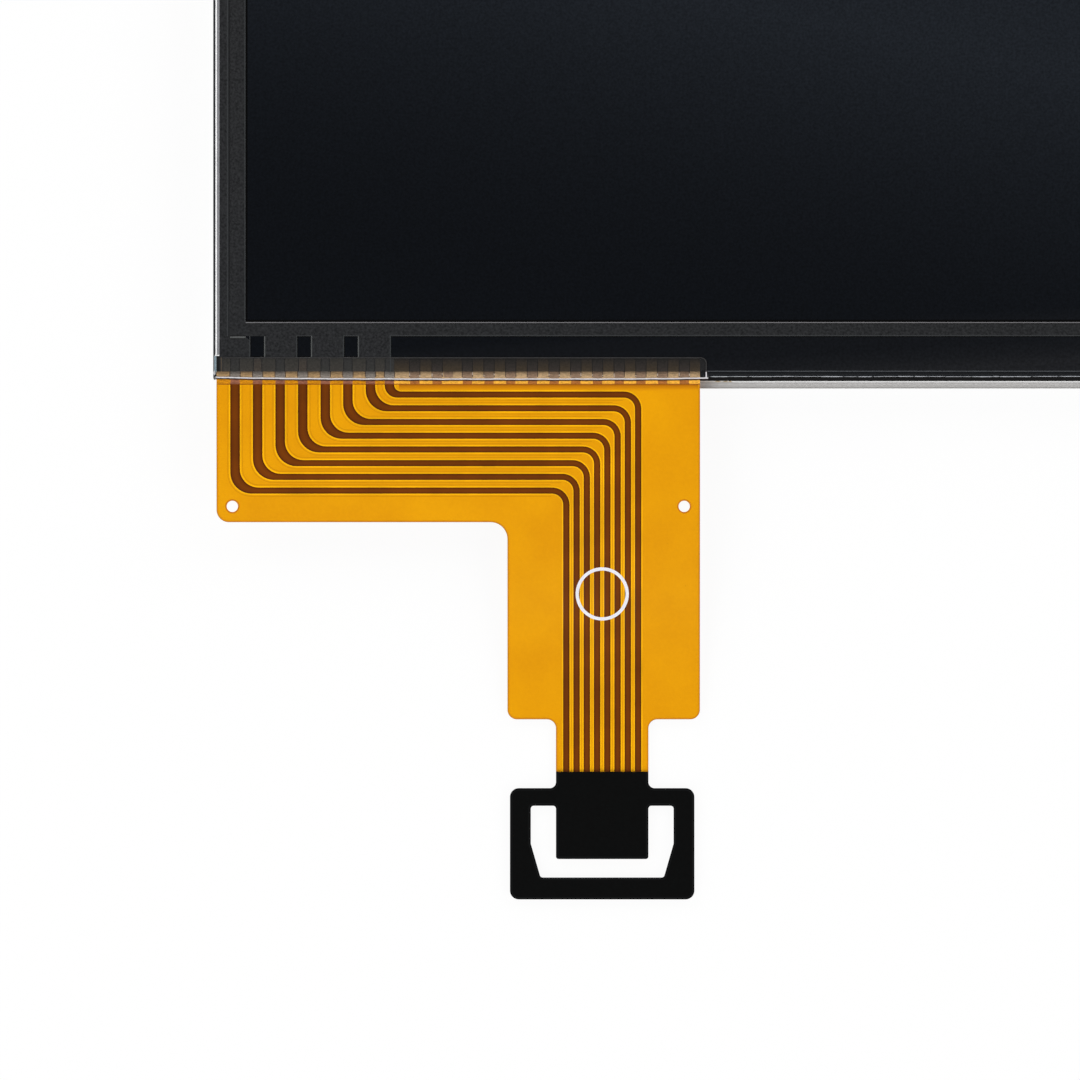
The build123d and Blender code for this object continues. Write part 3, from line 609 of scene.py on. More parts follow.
def tail_level(y, height):
    """Level of a face of the tail's stack, in mm, at a height over the stack's back."""
    if y >= droop_start:
        return panel_level + height
    if y <= neck_bottom:
        return end_level + height
    along = droop_start - y
    if along <= first_bend * math.sin(droop_turn):
        reach = first_bend + height
        return panel_level - first_bend + math.sqrt(reach ** 2 - along ** 2)
    reach = second_bend - height
    return end_level + second_bend - math.sqrt(reach ** 2 - (y - neck_bottom) ** 2)


def on_cover(y, height):
    """Level at a height over the coverlay's top."""
    return tail_level(y, COVER_TOP + height)


def on_tape(y, height):
    """Level at a height over the tape's back, along its profile."""
    down = min(1, max(0, (film_low.y - y) / TAPE_SLOPE))
    return ink_top + (row_level - ink_top) * down + height


def on_flat(face):
    """A level at a height over a flat face."""
    return lambda y, height: face + height


print("the tail turns", round(math.degrees(droop_turn), 1), "degrees down and back up")

# %% [markdown]
# Most of the fine pieces are strips: the copper lines, the rims and the cut edges. A strip is
# stretched between guide lines that have as many points as each other, so it can widen and bend
# like real copper. A guide is a chain of corners with a radius at each, cut into steps.

# %% Guides
ARC_STEPS = 10


def guide(corners, radii, steps):
    """Points along a chain of corners, each rounded by its radius, with steps along each run."""
    chain = [Vector(corner) for corner in corners]
    points = []
    here = chain[0]
    for number, radius in enumerate(radii):
        before, corner, after = chain[number:number + 3]
        back = (before - corner).normalized()
        ahead = (after - corner).normalized()
        half = back.angle(ahead) / 2
        centre = corner + (back + ahead).normalized() * radius / math.sin(half)
        start = corner + back * radius / math.tan(half)
        end = corner + ahead * radius / math.tan(half)
        turn = math.pi - 2 * half
        points += [here.lerp(start, k / steps[number]) for k in range(steps[number])]
        for k in range(ARC_STEPS):
            t = k / ARC_STEPS
            first = (start - centre) * math.sin((1 - t) * turn)
            second = (end - centre) * math.sin(t * turn)
            points.append(centre + (first + second) / math.sin(turn))
        here = end
    points += [here.lerp(chain[-1], k / steps[-1]) for k in range(steps[-1] + 1)]
    return points


def moved_in(corners, radii, by):
    """The same chain and its radii, moved to the left of its way."""
    places = [Vector(corner) for corner in corners]
    ways = [(two - one).normalized() for one, two in zip(places, places[1:])]
    moved = []
    for place, sides in zip(places, [ways[:1]] + list(zip(ways, ways[1:])) + [ways[-1:]]):
        normals = [Vector((-way.y, way.x)) for way in sides]
        mitre = 1 + normals[0].dot(normals[1]) if len(normals) == 2 else 1
        moved.append(place + sum(normals, Vector((0, 0))) * by / mitre)
    turned = [
        radius - by if way_in.cross(way_out) > 0 else radius + by
        for radius, way_in, way_out in zip(radii, ways, ways[1:])
    ]
    return moved, turned


def line(start, end, steps):
    """Points of a straight guide."""
    return [
        Vector((start[0] + (end[0] - start[0]) * k / steps,
                start[1] + (end[1] - start[1]) * k / steps))
        for k in range(steps + 1)
    ]


def circle(middle, radius, count=40):
    """Points round a circle."""
    return [
        Vector(middle) + radius * Vector((math.cos(t), math.sin(t)))
        for t in (2 * math.pi * k / count for k in range(count))
    ]


# %% [markdown]
# A strip can have columns at several heights, so that its sides turn down like real film over
# copper. Short straight edges are simpler: low rectangles with bevelled sides, many to a piece.

# %% Strips and tiles
def new_piece(name, mesh, material):
    """Put a mesh into the scene, with its finish, on the part's one body."""
    mesh.materials.append(looks[material])
    piece = bpy.data.objects.new(name, mesh)
    bpy.context.scene.collection.objects.link(piece)
    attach(piece, "root")
    return piece


def mesh_of(name, corners, faces, smooth=False):
    """A mesh from corners in mm and faces."""
    mesh = bpy.data.meshes.new(name)
    mesh.from_pydata([(x * MM, y * MM, z * MM) for x, y, z in corners], [], faces)
    mesh.polygons.foreach_set("use_smooth", [smooth] * len(faces))
    mesh.update()
    return mesh


def strip(name, guides, columns, level, material):
    """A strip over guides, a list of (across, points); a column is (across, height)."""
    corners = []
    for row in range(len(guides[0][1])):
        for across, height in columns:
            one = max((g for g in guides if g[0] <= across), key=lambda g: g[0])
            two = min((g for g in guides if g[0] >= across), key=lambda g: g[0])
            share = (across - one[0]) / (two[0] - one[0]) if two[0] > one[0] else 0
            x, y = one[1][row].lerp(two[1][row], share)
            corners.append((x, y, level(y, height)))
    wide = len(columns)
    rows = len(corners) // wide
    faces = [
        (r * wide + c, r * wide + c + 1, (r + 1) * wide + c + 1, (r + 1) * wide + c)
        for r in range(rows - 1)
        for c in range(wide - 1)
    ]
    mesh = mesh_of(name, corners, faces, smooth=True)
    attribute = mesh.attributes.new("across", "FLOAT", "POINT")
    attribute.data.foreach_set("value", [across for _ in range(rows) for across, _ in columns])
    if sum(face.normal.z for face in mesh.polygons) < 0:
        mesh.flip_normals()
    return new_piece(name, mesh, material)


def band(name, first, second, heights, level, material):
    """A strip between two guides, with its columns spread evenly from -1 to 1."""
    last = len(heights) - 1
    columns = [(2 * number / last - 1, height) for number, height in enumerate(heights)]
    return strip(name, [(-1, first), (1, second)], columns, level, material)


def tiles(name, areas, level, rise, material, bevel=0.015):
    """Low rectangles with bevelled sides; an area is (left, right, low, high)."""
    corners = []
    faces = []
    for left, right, low, high in areas:
        start = len(corners)
        for by, z in ((0, level), (bevel, level + rise)):
            corners += [(left + by, low + by, z), (right - by, low + by, z),
                        (right - by, high - by, z), (left + by, high - by, z)]
        faces.append(tuple(start + k for k in (4, 5, 6, 7)))
        faces += [(start + k, start + (k + 1) % 4, start + 4 + (k + 1) % 4, start + 4 + k)
                  for k in range(4)]
    return new_piece(name, mesh_of(name, corners, faces), material)


# %% [markdown]
# The coverlay and the tape are made anew from their outlines, because their solids have a few flat
# facets that a glossy film would show. The outline is filled, cut into rows so that it can bend,
# set on its profile, and given its thickness. Edges sharper than 30 degrees stay sharp.

# %% Smooth films
ROW = 0.5
SHARP = math.radians(30)
TAPE_GAP = 0.012
TAPE_TOP = 0.045
TAPE_CORNER = 0.6
CUT_CORNER = 0.01
SEAM = 1.0


def bent_film(name, loops, cuts, level, bottom, top, material):
    """A thin film with this outline and these holes, cut at some rows and bent by a profile."""
    film = bmesh.new()
    edges = []
    for loop in loops:
        ring = [film.verts.new((p.x, p.y, 0)) for p in loop]
        edges += [film.edges.new((a, b)) for a, b in zip(ring, ring[1:] + ring[:1])]
    bmesh.ops.triangle_fill(film, use_beauty=True, edges=edges, normal=(0, 0, 1))
    for cut in cuts:
        everything = film.verts[:] + film.edges[:] + film.faces[:]
        bmesh.ops.bisect_plane(film, geom=everything, plane_co=(0, cut, 0), plane_no=(0, 1, 0),
                               dist=1e-4)
    lower = bmesh.ops.extrude_face_region(film, geom=film.faces[:])
    moved = {v for v in lower["geom"] if isinstance(v, bmesh.types.BMVert)}
    for vert in film.verts:
        vert.co.z = level(vert.co.y, bottom if vert in moved else top)
    bmesh.ops.recalc_face_normals(film, faces=film.faces)
    for edge in film.edges:
        if edge.is_manifold and edge.calc_face_angle(0) > SHARP:
            edge.smooth = False
    for face in film.faces:
        face.smooth = True
    bmesh.ops.scale(film, vec=(MM, MM, MM), verts=film.verts)
    mesh = bpy.data.meshes.new(name)
    film.to_mesh(mesh)
    film.free()
    return new_piece(name, mesh, material)


outline_corners = [
    (tail_left, cover_high.y),
    (tail_left, wide_bottom),
    (column_left, wide_bottom),
    (column_left, column_bottom),
    (neck_left, column_bottom),
    (neck_left, tongue_tip),
    (neck_right, tongue_tip),
    (neck_right, column_bottom),
    (tail_right, column_bottom),
    (tail_right, cover_high.y),
]
outline_radii = [TAIL_CORNER, STEP_FILLET, COLUMN_CORNER, NECK_FILLET, TONGUE_RADIUS,
                 TONGUE_RADIUS, NECK_FILLET, COLUMN_CORNER]
rows = [tongue_tip + ROW * k for k in range(1, int((cover_high.y - tongue_tip) / ROW))]
holes = [circle(middle, TOOLING_RADIUS) for middle in tooling_holes]
coverlay = bent_film("coverlay_film", [guide(outline_corners, outline_radii, [1] * 9)] + holes,
                     rows, tail_level, BASE, COVER_TOP, "polyimide_coverlay")
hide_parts("tail_coverlay")

tape_corners = [
    (tape_low.x + SEAM, tape_high.y),
    (tape_low.x, tape_high.y),
    (tape_low.x, tape_low.y),
    (tape_high.x, tape_low.y),
    (tape_high.x, tape_high.y),
    (tape_low.x + SEAM, tape_high.y),
]
tape_radii = [CUT_CORNER, CUT_CORNER, CUT_CORNER, TAPE_CORNER]
tape = bent_film("tape_film", [guide(tape_corners, tape_radii, [1] * 5)[:-1]],
                 [film_low.y, film_low.y - TAPE_SLOPE], on_tape, TAPE_GAP, TAPE_TOP,
                 "clear_polyester")
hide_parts("bonding_cover_tape")
print("coverlay has", len(coverlay.data.polygons), "faces, tape", len(tape.data.polygons))

# %% [markdown]
# Now the copper that shows through the coverlay. Each trace comes down from its bonding pad 0.92 mm
# wide, bends, crosses the tail 0.58 mm wide, bends again and goes down the neck at the contact
# pitch of 1.0 mm. It could be a colour pattern in the film, but as a strip that stands a hundredth
# of a millimetre proud it also catches light at its sides, as the film over real copper does, and
# its colours add painted shade, darkest along the copper's sides. The strip reaches a little past
# the copper on both sides, for the bright line that runs along it, which is a painted highlight,
# and a darker hair line further out is painted shade at the foot of the pressed film.

# %% Copper seen through the coverlay
RUN_PITCH = 1.337
RUN_INSET = 3.08
CONTACT_PITCH = 1.0
LEAD_BEND = 2.05
LAST_LEAD_BEND = 1.2
CONTACT_BEND = 1.4
LINE_SIDE = 0.15
FOOT_LINE = 0.27
HALF_FOOT = 0.03
FOOT_END_GAP = 0.1
STEP_GAP = 0.02
LEAST_RUN = 0.01


def trace_side(number, side, out, across_only=False):
    """Guide along one side of a trace, moved out from the copper, down to the black end."""
    lead = lead_places[number] + side * (HALF_LEAD + out)
    run_middle = wide_bottom + RUN_INSET + number * RUN_PITCH
    run = run_middle + side * (HALF_RUN + out)
    middle = (TRACES - 1) / 2
    contact = neck_middle + (number - middle) * CONTACT_PITCH + side * (HALF_CONTACT + out)
    top = cover_high.y - STEP_GAP
    bend = LAST_LEAD_BEND if number == TRACES - 1 else LEAD_BEND
    bend -= (HALF_LEAD / 2 if side > 0 else 0) + side * out
    bend = min(bend, top - run - LEAST_RUN)
    last_bend = CONTACT_BEND + side * (HALF_CONTACT + out)
    down = max(2, int((top - run_middle) / ROW))
    neck = int((run_middle - neck_bottom) / ROW)
    if across_only:
        end = contact - last_bend - FOOT_END_GAP
        return guide([(lead, top), (lead, run), (end, run)], [bend], [down, 4])
    corners = [(lead, top), (lead, run), (contact, run), (contact, neck_bottom)]
    return guide(corners, [bend, last_bend], [down, 4, neck])


trace_columns = [(-1.0, 0.008), (-0.72, 0.011), (-0.66, 0.016), (-0.3, 0.018), (0.3, 0.018),
                 (0.66, 0.016), (0.72, 0.011), (1.0, 0.008)]
for number in range(TRACES):
    guides = [(across, trace_side(number, side, out)) for across, side, out in
              ((-1.0, -1, LINE_SIDE), (-0.7, -1, 0), (0.7, 1, 0), (1.0, 1, LINE_SIDE))]
    # Copper with a painted highlight beside it and painted shade along its sides.
    strip(f"trace_line_{number + 1}", guides, trace_columns, on_cover, "copper_with_painted_light")
    # Each side gets a hair line of painted shade at the foot of the pressed film.
    for side, word in ((-1, "low"), (1, "high")):
        if number == TRACES - 1 and side > 0:
            continue
        first, second = (trace_side(number, side, FOOT_LINE + by * HALF_FOOT, True)
                         for by in (-1, 1))
        band(f"foot_line_{number + 1}_{word}", first, second, (0.005, 0.005), on_cover,
             "foot_line_shade")
print("laid", TRACES, "traces under the film")

# %% [markdown]
# Every cut edge of the film is painted darker for about a fifth of a millimetre, as painted
# shade. A rim follows the outline, one guide on the edge and one inside it, and a round rim
# follows each tooling hole.

# %% Rims of the film
RIM = 0.2
HOLE_RIM = 0.17


def rim_guides(corners, radii, steps, by):
    """Guides of a rim: along a cut edge, and inside it."""
    inner, inner_radii = moved_in(corners, radii, by)
    return [(-1, guide(corners, radii, steps)), (1, guide(inner, inner_radii, steps))]


# The rims are painted shade along each cut edge of the film.
rim_columns = [(-1.0, 0.003), (-0.5, 0.006), (0.2, 0.006), (1.0, 0.005)]
left_way = outline_corners[:5] + [(neck_left, neck_bottom)]
right_way = [(neck_right, neck_bottom)] + outline_corners[7:]
for name, corners, radii, steps in (
    ("film_rim_left", left_way, outline_radii[:4], [20, 2, 36, 2, 10]),
    ("film_rim_right", right_way, outline_radii[6:], [10, 2, 66]),
):
    strip(name, rim_guides(corners, radii, steps, RIM), rim_columns, on_cover, "polyimide_rim")

hole_columns = [(-1.0, -0.02), (-0.7, 0.004), (0.2, 0.004), (1.0, 0.002)]
for number, middle in enumerate(tooling_holes):
    inside = circle(middle, TOOLING_RADIUS)
    outside = circle(middle, TOOLING_RADIUS + HOLE_RIM)
    strip(f"hole_rim_{number + 1}", [(-1, inside + inside[:1]), (1, outside + outside[:1])],
          hole_columns, on_cover, "hole_rim")

# %% [markdown]
# The black end is punched from a thicker sheet. Its cut edge is the blackest part of it, and a hair
# inside the edge the face turns down and catches a little light. At the slot's lower side the cut
# face itself shows as a thin grey line.

# %% Rims of the black end
END_RIM = 0.24
STEM = 1.6
STEM_FILLET = 0.6
END_RADIUS = 0.86
SIDE_BAR = 2.03
TOP_BAR = 1.72
BOTTOM_BAR = 2.14
SLOT_TAPER = 0.95
SLOT_TAPER_HEIGHT = 3.3
SLOT_RADIUS = 0.3
SLOT_SIDE_INSET = 1.2
SLOT_SIDE_WIDTH = 0.08
on_end = on_flat(end_high.z)
frame_top = end_high.y - STEM
slot_left, slot_right = end_low.x + SIDE_BAR, end_high.x - SIDE_BAR
slot_low, slot_high = end_low.y + BOTTOM_BAR, frame_top - TOP_BAR

end_outline = [
    (neck_left, neck_bottom),
    (neck_left, frame_top),
    (end_low.x, frame_top),
    (end_low.x, end_low.y),
    (end_high.x, end_low.y),
    (end_high.x, frame_top),
    (neck_right, frame_top),
    (neck_right, neck_bottom),
]
end_radii = [STEM_FILLET] + [END_RADIUS] * 4 + [STEM_FILLET]
half_way = (slot_high + slot_low + SLOT_TAPER_HEIGHT) / 2
slot_outline = [
    (slot_left, half_way),
    (slot_left, slot_high),
    (neck_left, slot_high),
    (neck_left, tongue_tip),
    (neck_right, tongue_tip),
    (neck_right, slot_high),
    (slot_right, slot_high),
    (slot_right, slot_low + SLOT_TAPER_HEIGHT),
    (slot_right - SLOT_TAPER, slot_low),
    (slot_left + SLOT_TAPER, slot_low),
    (slot_left, slot_low + SLOT_TAPER_HEIGHT),
    (slot_left, half_way),
]
end_columns = [(across, 0.004) for across in (-1.0, 0.0, 0.3, 1.0)]
for name, corners, radii in (
    ("end_rim_outer", end_outline, end_radii),
    ("end_rim_slot", slot_outline, [SLOT_RADIUS] * 10),
):
    strip(name, rim_guides(corners, radii, [3] * (len(radii) + 1), END_RIM), end_columns, on_end,
          "black_end_rim")
slot_side = (slot_left + SLOT_SIDE_INSET, slot_right - SLOT_SIDE_INSET,
             slot_low - SLOT_SIDE_WIDTH, slot_low)
tiles("slot_side", [slot_side], end_high.z, 0.005, "black_end_side")

# %% [markdown]
# Along the step where the coverlay begins, the film lies in the tape's shade for about half a
# millimetre, and along the coverlay's cut edge runs a thin red-brown line of painted shade. The
# soft light of this scene comes from all sides and would lose that shade, so a band carries it as
# colour.

# %% The step of the coverlay
SHADE = 0.6
SHADE_STEPS = 40
HALF_STEP_LINE = 0.03
step = cover_high.y
step_left = lead_places[-1] + 2 * HALF_LEAD
upper, lower = (line((step_left, y), (tail_right, y), SHADE_STEPS) for y in (step, step - SHADE))
band("step_shade", upper, lower, (0.005, 0.005, 0.005), on_cover, "step_shade")
# A thin line of painted shade along the coverlay's cut edge.
tiles("step_line", [(tail_left, tail_right, step - HALF_STEP_LINE, step + HALF_STEP_LINE)],
      panel_level + COVER_TOP - 0.01, 0.012, "step_line")

# %% [markdown]
# The bonding row lies half under the smoked film and half in front of it. In front of it, bare
# film, eight live leads and thirteen spare pads are laid as low tiles, a few thousandths of a
# millimetre over the film's lower face. Each pad is flanked by a hair of painted shadow, and here
# and there a drop of bonding film glints with a painted highlight.

# %% The bonding row
HAIR = 0.09
GLINT = 0.07
GLINT_CHANCE = 0.7
GLINT_STARTS = (0.0, 0.2)
GLINT_LENGTHS = (0.1, 0.35)
SPLIT_SHIFT = 0.2


def both_sides(areas, wide):
    """Narrow areas along the left and the right side of each area."""
    return [
        side for left, right, low, high in areas
        for side in ((left - wide, left, low, high), (right, right + wide, low, high))
    ]


def row_areas(places, low, high):
    """An area as wide as a lead at each place."""
    return [(x - HALF_LEAD, x + HALF_LEAD, low, high) for x in places]


row_low = cover_high.y + STEP_GAP
split = lead_places[-1] + HALF_LEAD - SPLIT_SHIFT
pads_all = row_areas(lead_places + pad_places, glass_low.y, tail_top)
for name, areas, rise, material, slot in (
    ("bare_film_live", [(tail_left, split, row_low, tail_top)], 0.002, "polyimide_base",
     "polyimide_base"),
    ("bare_film_spare", [(split, tail_right, row_low, tail_top)], 0.002, "polyimide_bright",
     "polyimide_base"),
    ("bare_leads", row_areas(lead_places, row_low, tail_top), 0.006, "etched_copper", "copper"),
    ("bare_pads", row_areas(pad_places, pads_low.y, tail_top), 0.006, "spare_copper", "copper"),
):
    tiles(name, areas, row_level, rise, material)
# A hair of painted shadow on both sides of each lead and pad.
tiles("pad_shadows", both_sides(pads_all, HAIR), row_level, 0.007, "painted_pad_shadow",
      0.005)

# Painted highlights: bright drops of bonding film beside some pads.
glints = []
for x in pad_places:
    for edge in (x - HALF_LEAD - GLINT, x + HALF_LEAD):
        if random.random() < GLINT_CHANCE:
            start = glass_low.y + random.uniform(*GLINT_STARTS)
            end = start + random.uniform(*GLINT_LENGTHS)
            glints.append((edge, edge + GLINT, start, min(end, film_low.y)))
tiles("bond_glints", glints, row_level, 0.009, "bond_drop_highlight", 0.01)

GLASS_PAD = (0.66, 1.55)
TAPE_INSET = 0.1
glass_pad = (pad_places[-2] + GLASS_PAD[0], pad_places[-2] + GLASS_PAD[1],
             tape_low.y + TAPE_INSET, film_low.y)
tiles("glass_pad", [glass_pad], row_level, 0.0065, "spare_copper")
print("laid", len(pads_all), "pads and", len(glints), "glints")

# %% [markdown]
# Behind the film's edge the row goes on. Right of the border's notch it shows through the smoked
# film alone, and left of it through the printed ink too. Each tint is a tile on the top of what
# it is seen through, with the same hair of shadow on both sides. Two of the leads under the ink
# have a thicker bond and look browner.

# %% The row behind the film and the ink
NOTCH = 17.35
FIRST_GAP = 0.6
BESIDE_RIGHT = 0.14
BESIDE_LOW = 0.12
BESIDE_HIGH = 0.2
THICK_BONDS = (3, 1)
SEEN_LOW_GAP = 0.03
SEEN_HIGH_GAP = 0.05
seen_low, seen_high = film_low.y + SEEN_LOW_GAP, tail_top - SEEN_HIGH_GAP
notch = bezel_low.x + NOTCH
tiles("row_under_film", [(notch, tail_right, seen_low, seen_high)], film_top, 0.004,
      "film_over_polyimide")
shown = [area for area in row_areas(pad_places, seen_low, seen_high) if area[0] > notch]
tiles("pads_under_film", shown, film_top, 0.007, "film_over_copper")
# Hairs of painted shadow beside the pads under the film.
tiles("hairs_under_film", both_sides(shown, HAIR), film_top, 0.01, "film_over_pad_shadow",
      0.005)
beside = (tail_right, tape_high.x - BESIDE_RIGHT, film_low.y + BESIDE_LOW,
          tape_high.y - BESIDE_HIGH)
tiles("film_beside_tail", [beside], film_top, 0.004, "film_under_tape")

under_ink = row_areas(lead_places, seen_low, seen_high)
rights = [tail_left + FIRST_GAP] + [right for _, right, _, _ in under_ink]
gaps = [(right, left, seen_low, seen_high)
        for right, (left, _, _, _) in zip(rights, under_ink)]
tiles("row_under_ink", gaps, ink_top, 0.004, "ink_over_polyimide")
thick = [under_ink.pop(number) for number in THICK_BONDS]
tiles("leads_under_ink", under_ink, ink_top, 0.004, "ink_over_copper")
tiles("thick_bond_under_ink", thick, ink_top, 0.004, "ink_over_adhesive")
# Hairs of painted shadow beside the leads under the ink.
tiles("hairs_under_ink", both_sides(gaps, HAIR)[1:], ink_top, 0.007, "ink_over_pad_shadow",
      0.005)

# %% [markdown]
# The face has fine straight edges: printed ink has a thickness that catches light on one side and
# throws a hair of shadow on the other. The border leaves three windows and a long notch open, and
# a fine line runs down beside it. Each edge is given by the rectangle that it fills.

# %% Edges of the printed border
SIDE_BORDER = 3.17
TOP_BORDER = 3.2
BOTTOM_BORDER = 6.48
BAND = 1.38
WINDOW_HEIGHT = 2.05
WINDOW_WIDTH = 1.34
WINDOW_PITCH = 4.57
WINDOW_INSET = 3.64
WINDOWS = 3
FINE_LINE_INSET = 1.46
LINE_END_GAP = 0.45
EDGE = 0.11
WINDOW_TOP_EDGE = 0.07
BRIGHT_EDGE = 0.1
SHADOW = 0.09
LINE_GAP = 0.14
view_left = bezel_low.x + SIDE_BORDER
view_right = -view_left
view_low = bezel_low.y + BOTTOM_BORDER
view_high = bezel_high.y - TOP_BORDER
window_high = view_low - BAND
window_low = window_high - WINDOW_HEIGHT
window_left = bezel_low.x + WINDOW_INSET
notch_left = window_left + WINDOWS * WINDOW_PITCH
fine_line = bezel_low.x + FINE_LINE_INSET
line_end = window_left - LINE_END_GAP
windows = [
    (window_left + k * WINDOW_PITCH, window_left + k * WINDOW_PITCH + WINDOW_WIDTH)
    for k in range(WINDOWS)
]

bright = [(view_left, view_right, view_low - BRIGHT_EDGE, view_low)]
bright += [(left, right, window_low - EDGE, window_low) for left, right in windows]
tiles("ink_edges_bright", bright, ink_top, 0.006, "ink_edge_bright")

plain = [
    (view_left - EDGE, view_left, view_low, view_high),
    (view_right, view_right + EDGE, view_low, view_high),
    (view_left, view_right, view_high, view_high + EDGE),
    (notch_left - EDGE, -notch_left, window_high, window_high + EDGE),
    (notch_left - EDGE, notch_left, film_low.y, window_high),
    (fine_line - EDGE, fine_line, window_high, view_high),
]
plain += [(left - EDGE, left, window_low, window_high) for left, _ in windows]
plain += [(left - EDGE, right + EDGE, window_high, window_high + WINDOW_TOP_EDGE)
          for left, right in windows[1:]]
tiles("ink_edges", plain, ink_top, 0.006, "ink_edge")

# %% [markdown]
# Shadows lie on the film beside the ink, and the fine line has a gap, a bright foot that is a
# painted highlight, and hairs of painted shade of its own. The film's lower edge shows as one pale
# line, a painted highlight, and the glass in front of it shows as one pale line too.

# %% Shadows and fine lines of the border
VIEW_SHADOW_LOW = 0.23
VIEW_SHADOW_LEFT = 0.2
FOOT_LOW = 0.19
FOOT_HIGH = 0.02
FOOT_INSET = 0.05
HAIR_RISE = 0.06
HAIR_WIDTH = 0.07
HAIR_START = 2
FILM_EDGE = 0.075
GLASS_LINE = (0.28, 0.18)
GLASS_LINE_END = 0.2
shadow_top = view_low + VIEW_SHADOW_LOW
shadows = [
    (view_left, view_right, view_low, shadow_top),
    (view_left, view_left + VIEW_SHADOW_LEFT, shadow_top, view_high),
    (notch_left, -notch_left, window_high - SHADOW, window_high),
]
shadows += [(left, right, window_low, window_low + SHADOW) for left, right in windows]
shadows += [(left, left + SHADOW, window_low, window_high) for left, _ in windows]
shadows += [(left, right, window_high - SHADOW, window_high) for left, right in windows[1:]]
tiles("ink_shadows", shadows, film_top, 0.005, "edge_shadow")

beside_line = fine_line + LINE_GAP
# Hairs of painted shade beside the bright edges and the fine line.
tiles("ink_hairs", [
    (view_left, view_right, view_low - 2 * BRIGHT_EDGE, view_low - BRIGHT_EDGE),
    (beside_line, line_end, window_high - FOOT_LOW - SHADOW, window_high - FOOT_LOW),
    (beside_line, line_end, window_high - FOOT_HIGH, window_high + HAIR_RISE),
    (beside_line, beside_line + HAIR_WIDTH, view_low + HAIR_START, view_high),
], ink_top, 0.005, "ink_hair")
tiles("ink_line", [(fine_line, beside_line, window_high - LINE_GAP, view_high)],
      ink_top - 0.02, 0.022, "ink_line", 0.005)
# Painted highlights: the fine line's bright foot and the right edges of the windows.
feet = [(beside_line + FOOT_INSET, line_end, window_high - FOOT_LOW, window_high - FOOT_HIGH)]
feet += [(right, right + EDGE, window_low - EDGE, window_high) for _, right in windows]
tiles("ink_line_bright", feet, ink_top, 0.008, "ink_line_bright")
# A painted highlight along the film's cut lower edge.
film_edge = (tape_high.x, film_high.x, film_low.y, film_low.y + FILM_EDGE)
tiles("film_edges", [film_edge], film_top, 0.004, "film_edge")
glass_line = (tape_high.x, glass_high.x - GLASS_LINE_END, film_low.y - GLASS_LINE[0],
              film_low.y - GLASS_LINE[1])
tiles("glass_lines", [glass_line], glass_high.z, 0.004, "ink_line")
print("drew", len(windows), "windows in the border")

# %% [markdown]
# Between the film and the glass's edge runs a bead of clear sealant, a third of a millimetre wide,
# all along both sides down to the tape, and along the glass's cut edge lies a dark strip of
# painted shade.

# %% Sides of the sensor
BEAD_INSET = 0.138
BEAD_OVERLAP = 0.11
BEAD_START = 0.1
BEAD_STEPS = 60
EDGE_SHADE_INSET = 0.16
EDGE_SHADE_GAP = 0.004
EDGE_SHADE_START = 0.3
EDGE_SHADE_STEPS = 20
bead_columns = [(-1.0, 0.03), (-0.8, 0.13), (-0.5, 0.212), (0.0, 0.262), (0.5, 0.288),
                (1.0, 0.293)]
edge_shade_columns = [(-1.0, 0.02), (-0.9, 0.9), (-0.5, 1.06), (0.3, 1.108), (1.0, 1.11)]
edge_shade_out = glass_low.x - bezel_low.x - EDGE_SHADE_GAP
bead_low = tail_top + BEAD_START
edge_shade_low = gasket_low.y + EDGE_SHADE_START
for name, sign in (("left", -1), ("right", 1)):
    edge = sign * abs(glass_low.x)
    inner = sign * abs(film_low.x)
    beads = [
        (across, line((x, bead_low), (x, film_high.y), BEAD_STEPS))
        for across, x in ((-1, edge - sign * BEAD_INSET), (1, inner - sign * BEAD_OVERLAP))
    ]
    strip(f"sealant_{name}", beads, bead_columns, on_flat(glass_high.z), "edge_sealant")
    edge_shades = [
        (across, line((x, edge_shade_low), (x, glass_high.y), EDGE_SHADE_STEPS))
        for across, x in ((-1, edge + sign * edge_shade_out), (1, edge - sign * EDGE_SHADE_INSET))
    ]
    # A dark strip of painted shade along the glass's cut edge.
    strip(f"edge_shade_and_adhesive_{name}", edge_shades, edge_shade_columns, on_flat(gasket_high.z), "edge_shade_and_adhesive")

# %% [markdown]
# Below the bead, at the panel's corner, the bare glass edge shows as a pale blue painted
# highlight beside a black block of adhesive, and scraps of sealant and adhesive are left, the
# adhesive one with a small painted highlight on it. A scrap is a drop with an uneven rim.

# %% The corner of the sensor
BLOB_RINGS = 4
BLOB_SPOKES = 14
BLOB_WOBBLE = (0.85, 1.15)


def blob(name, middle, radii, level, rise, material):
    """A small uneven drop with a domed top."""
    wobble = [random.uniform(*BLOB_WOBBLE) for _ in range(BLOB_SPOKES)]
    corners = [(middle[0], middle[1], level + rise)]
    for ring in range(1, BLOB_RINGS + 1):
        share = ring / BLOB_RINGS
        for k in range(BLOB_SPOKES):
            turn = 2 * math.pi * k / BLOB_SPOKES
            reach = share * (1 + (wobble[k] - 1) * share)
            corners.append((middle[0] + radii[0] * reach * math.cos(turn),
                            middle[1] + radii[1] * reach * math.sin(turn),
                            level + rise * (1 - share ** 2)))
    faces = [(0, 1 + k, 1 + (k + 1) % BLOB_SPOKES) for k in range(BLOB_SPOKES)]
    for ring in range(BLOB_RINGS - 1):
        one = 1 + ring * BLOB_SPOKES
        two = one + BLOB_SPOKES
        faces += [(one + k, two + k, two + (k + 1) % BLOB_SPOKES, one + (k + 1) % BLOB_SPOKES)
                  for k in range(BLOB_SPOKES)]
    return new_piece(name, mesh_of(name, corners, faces, smooth=True), material)


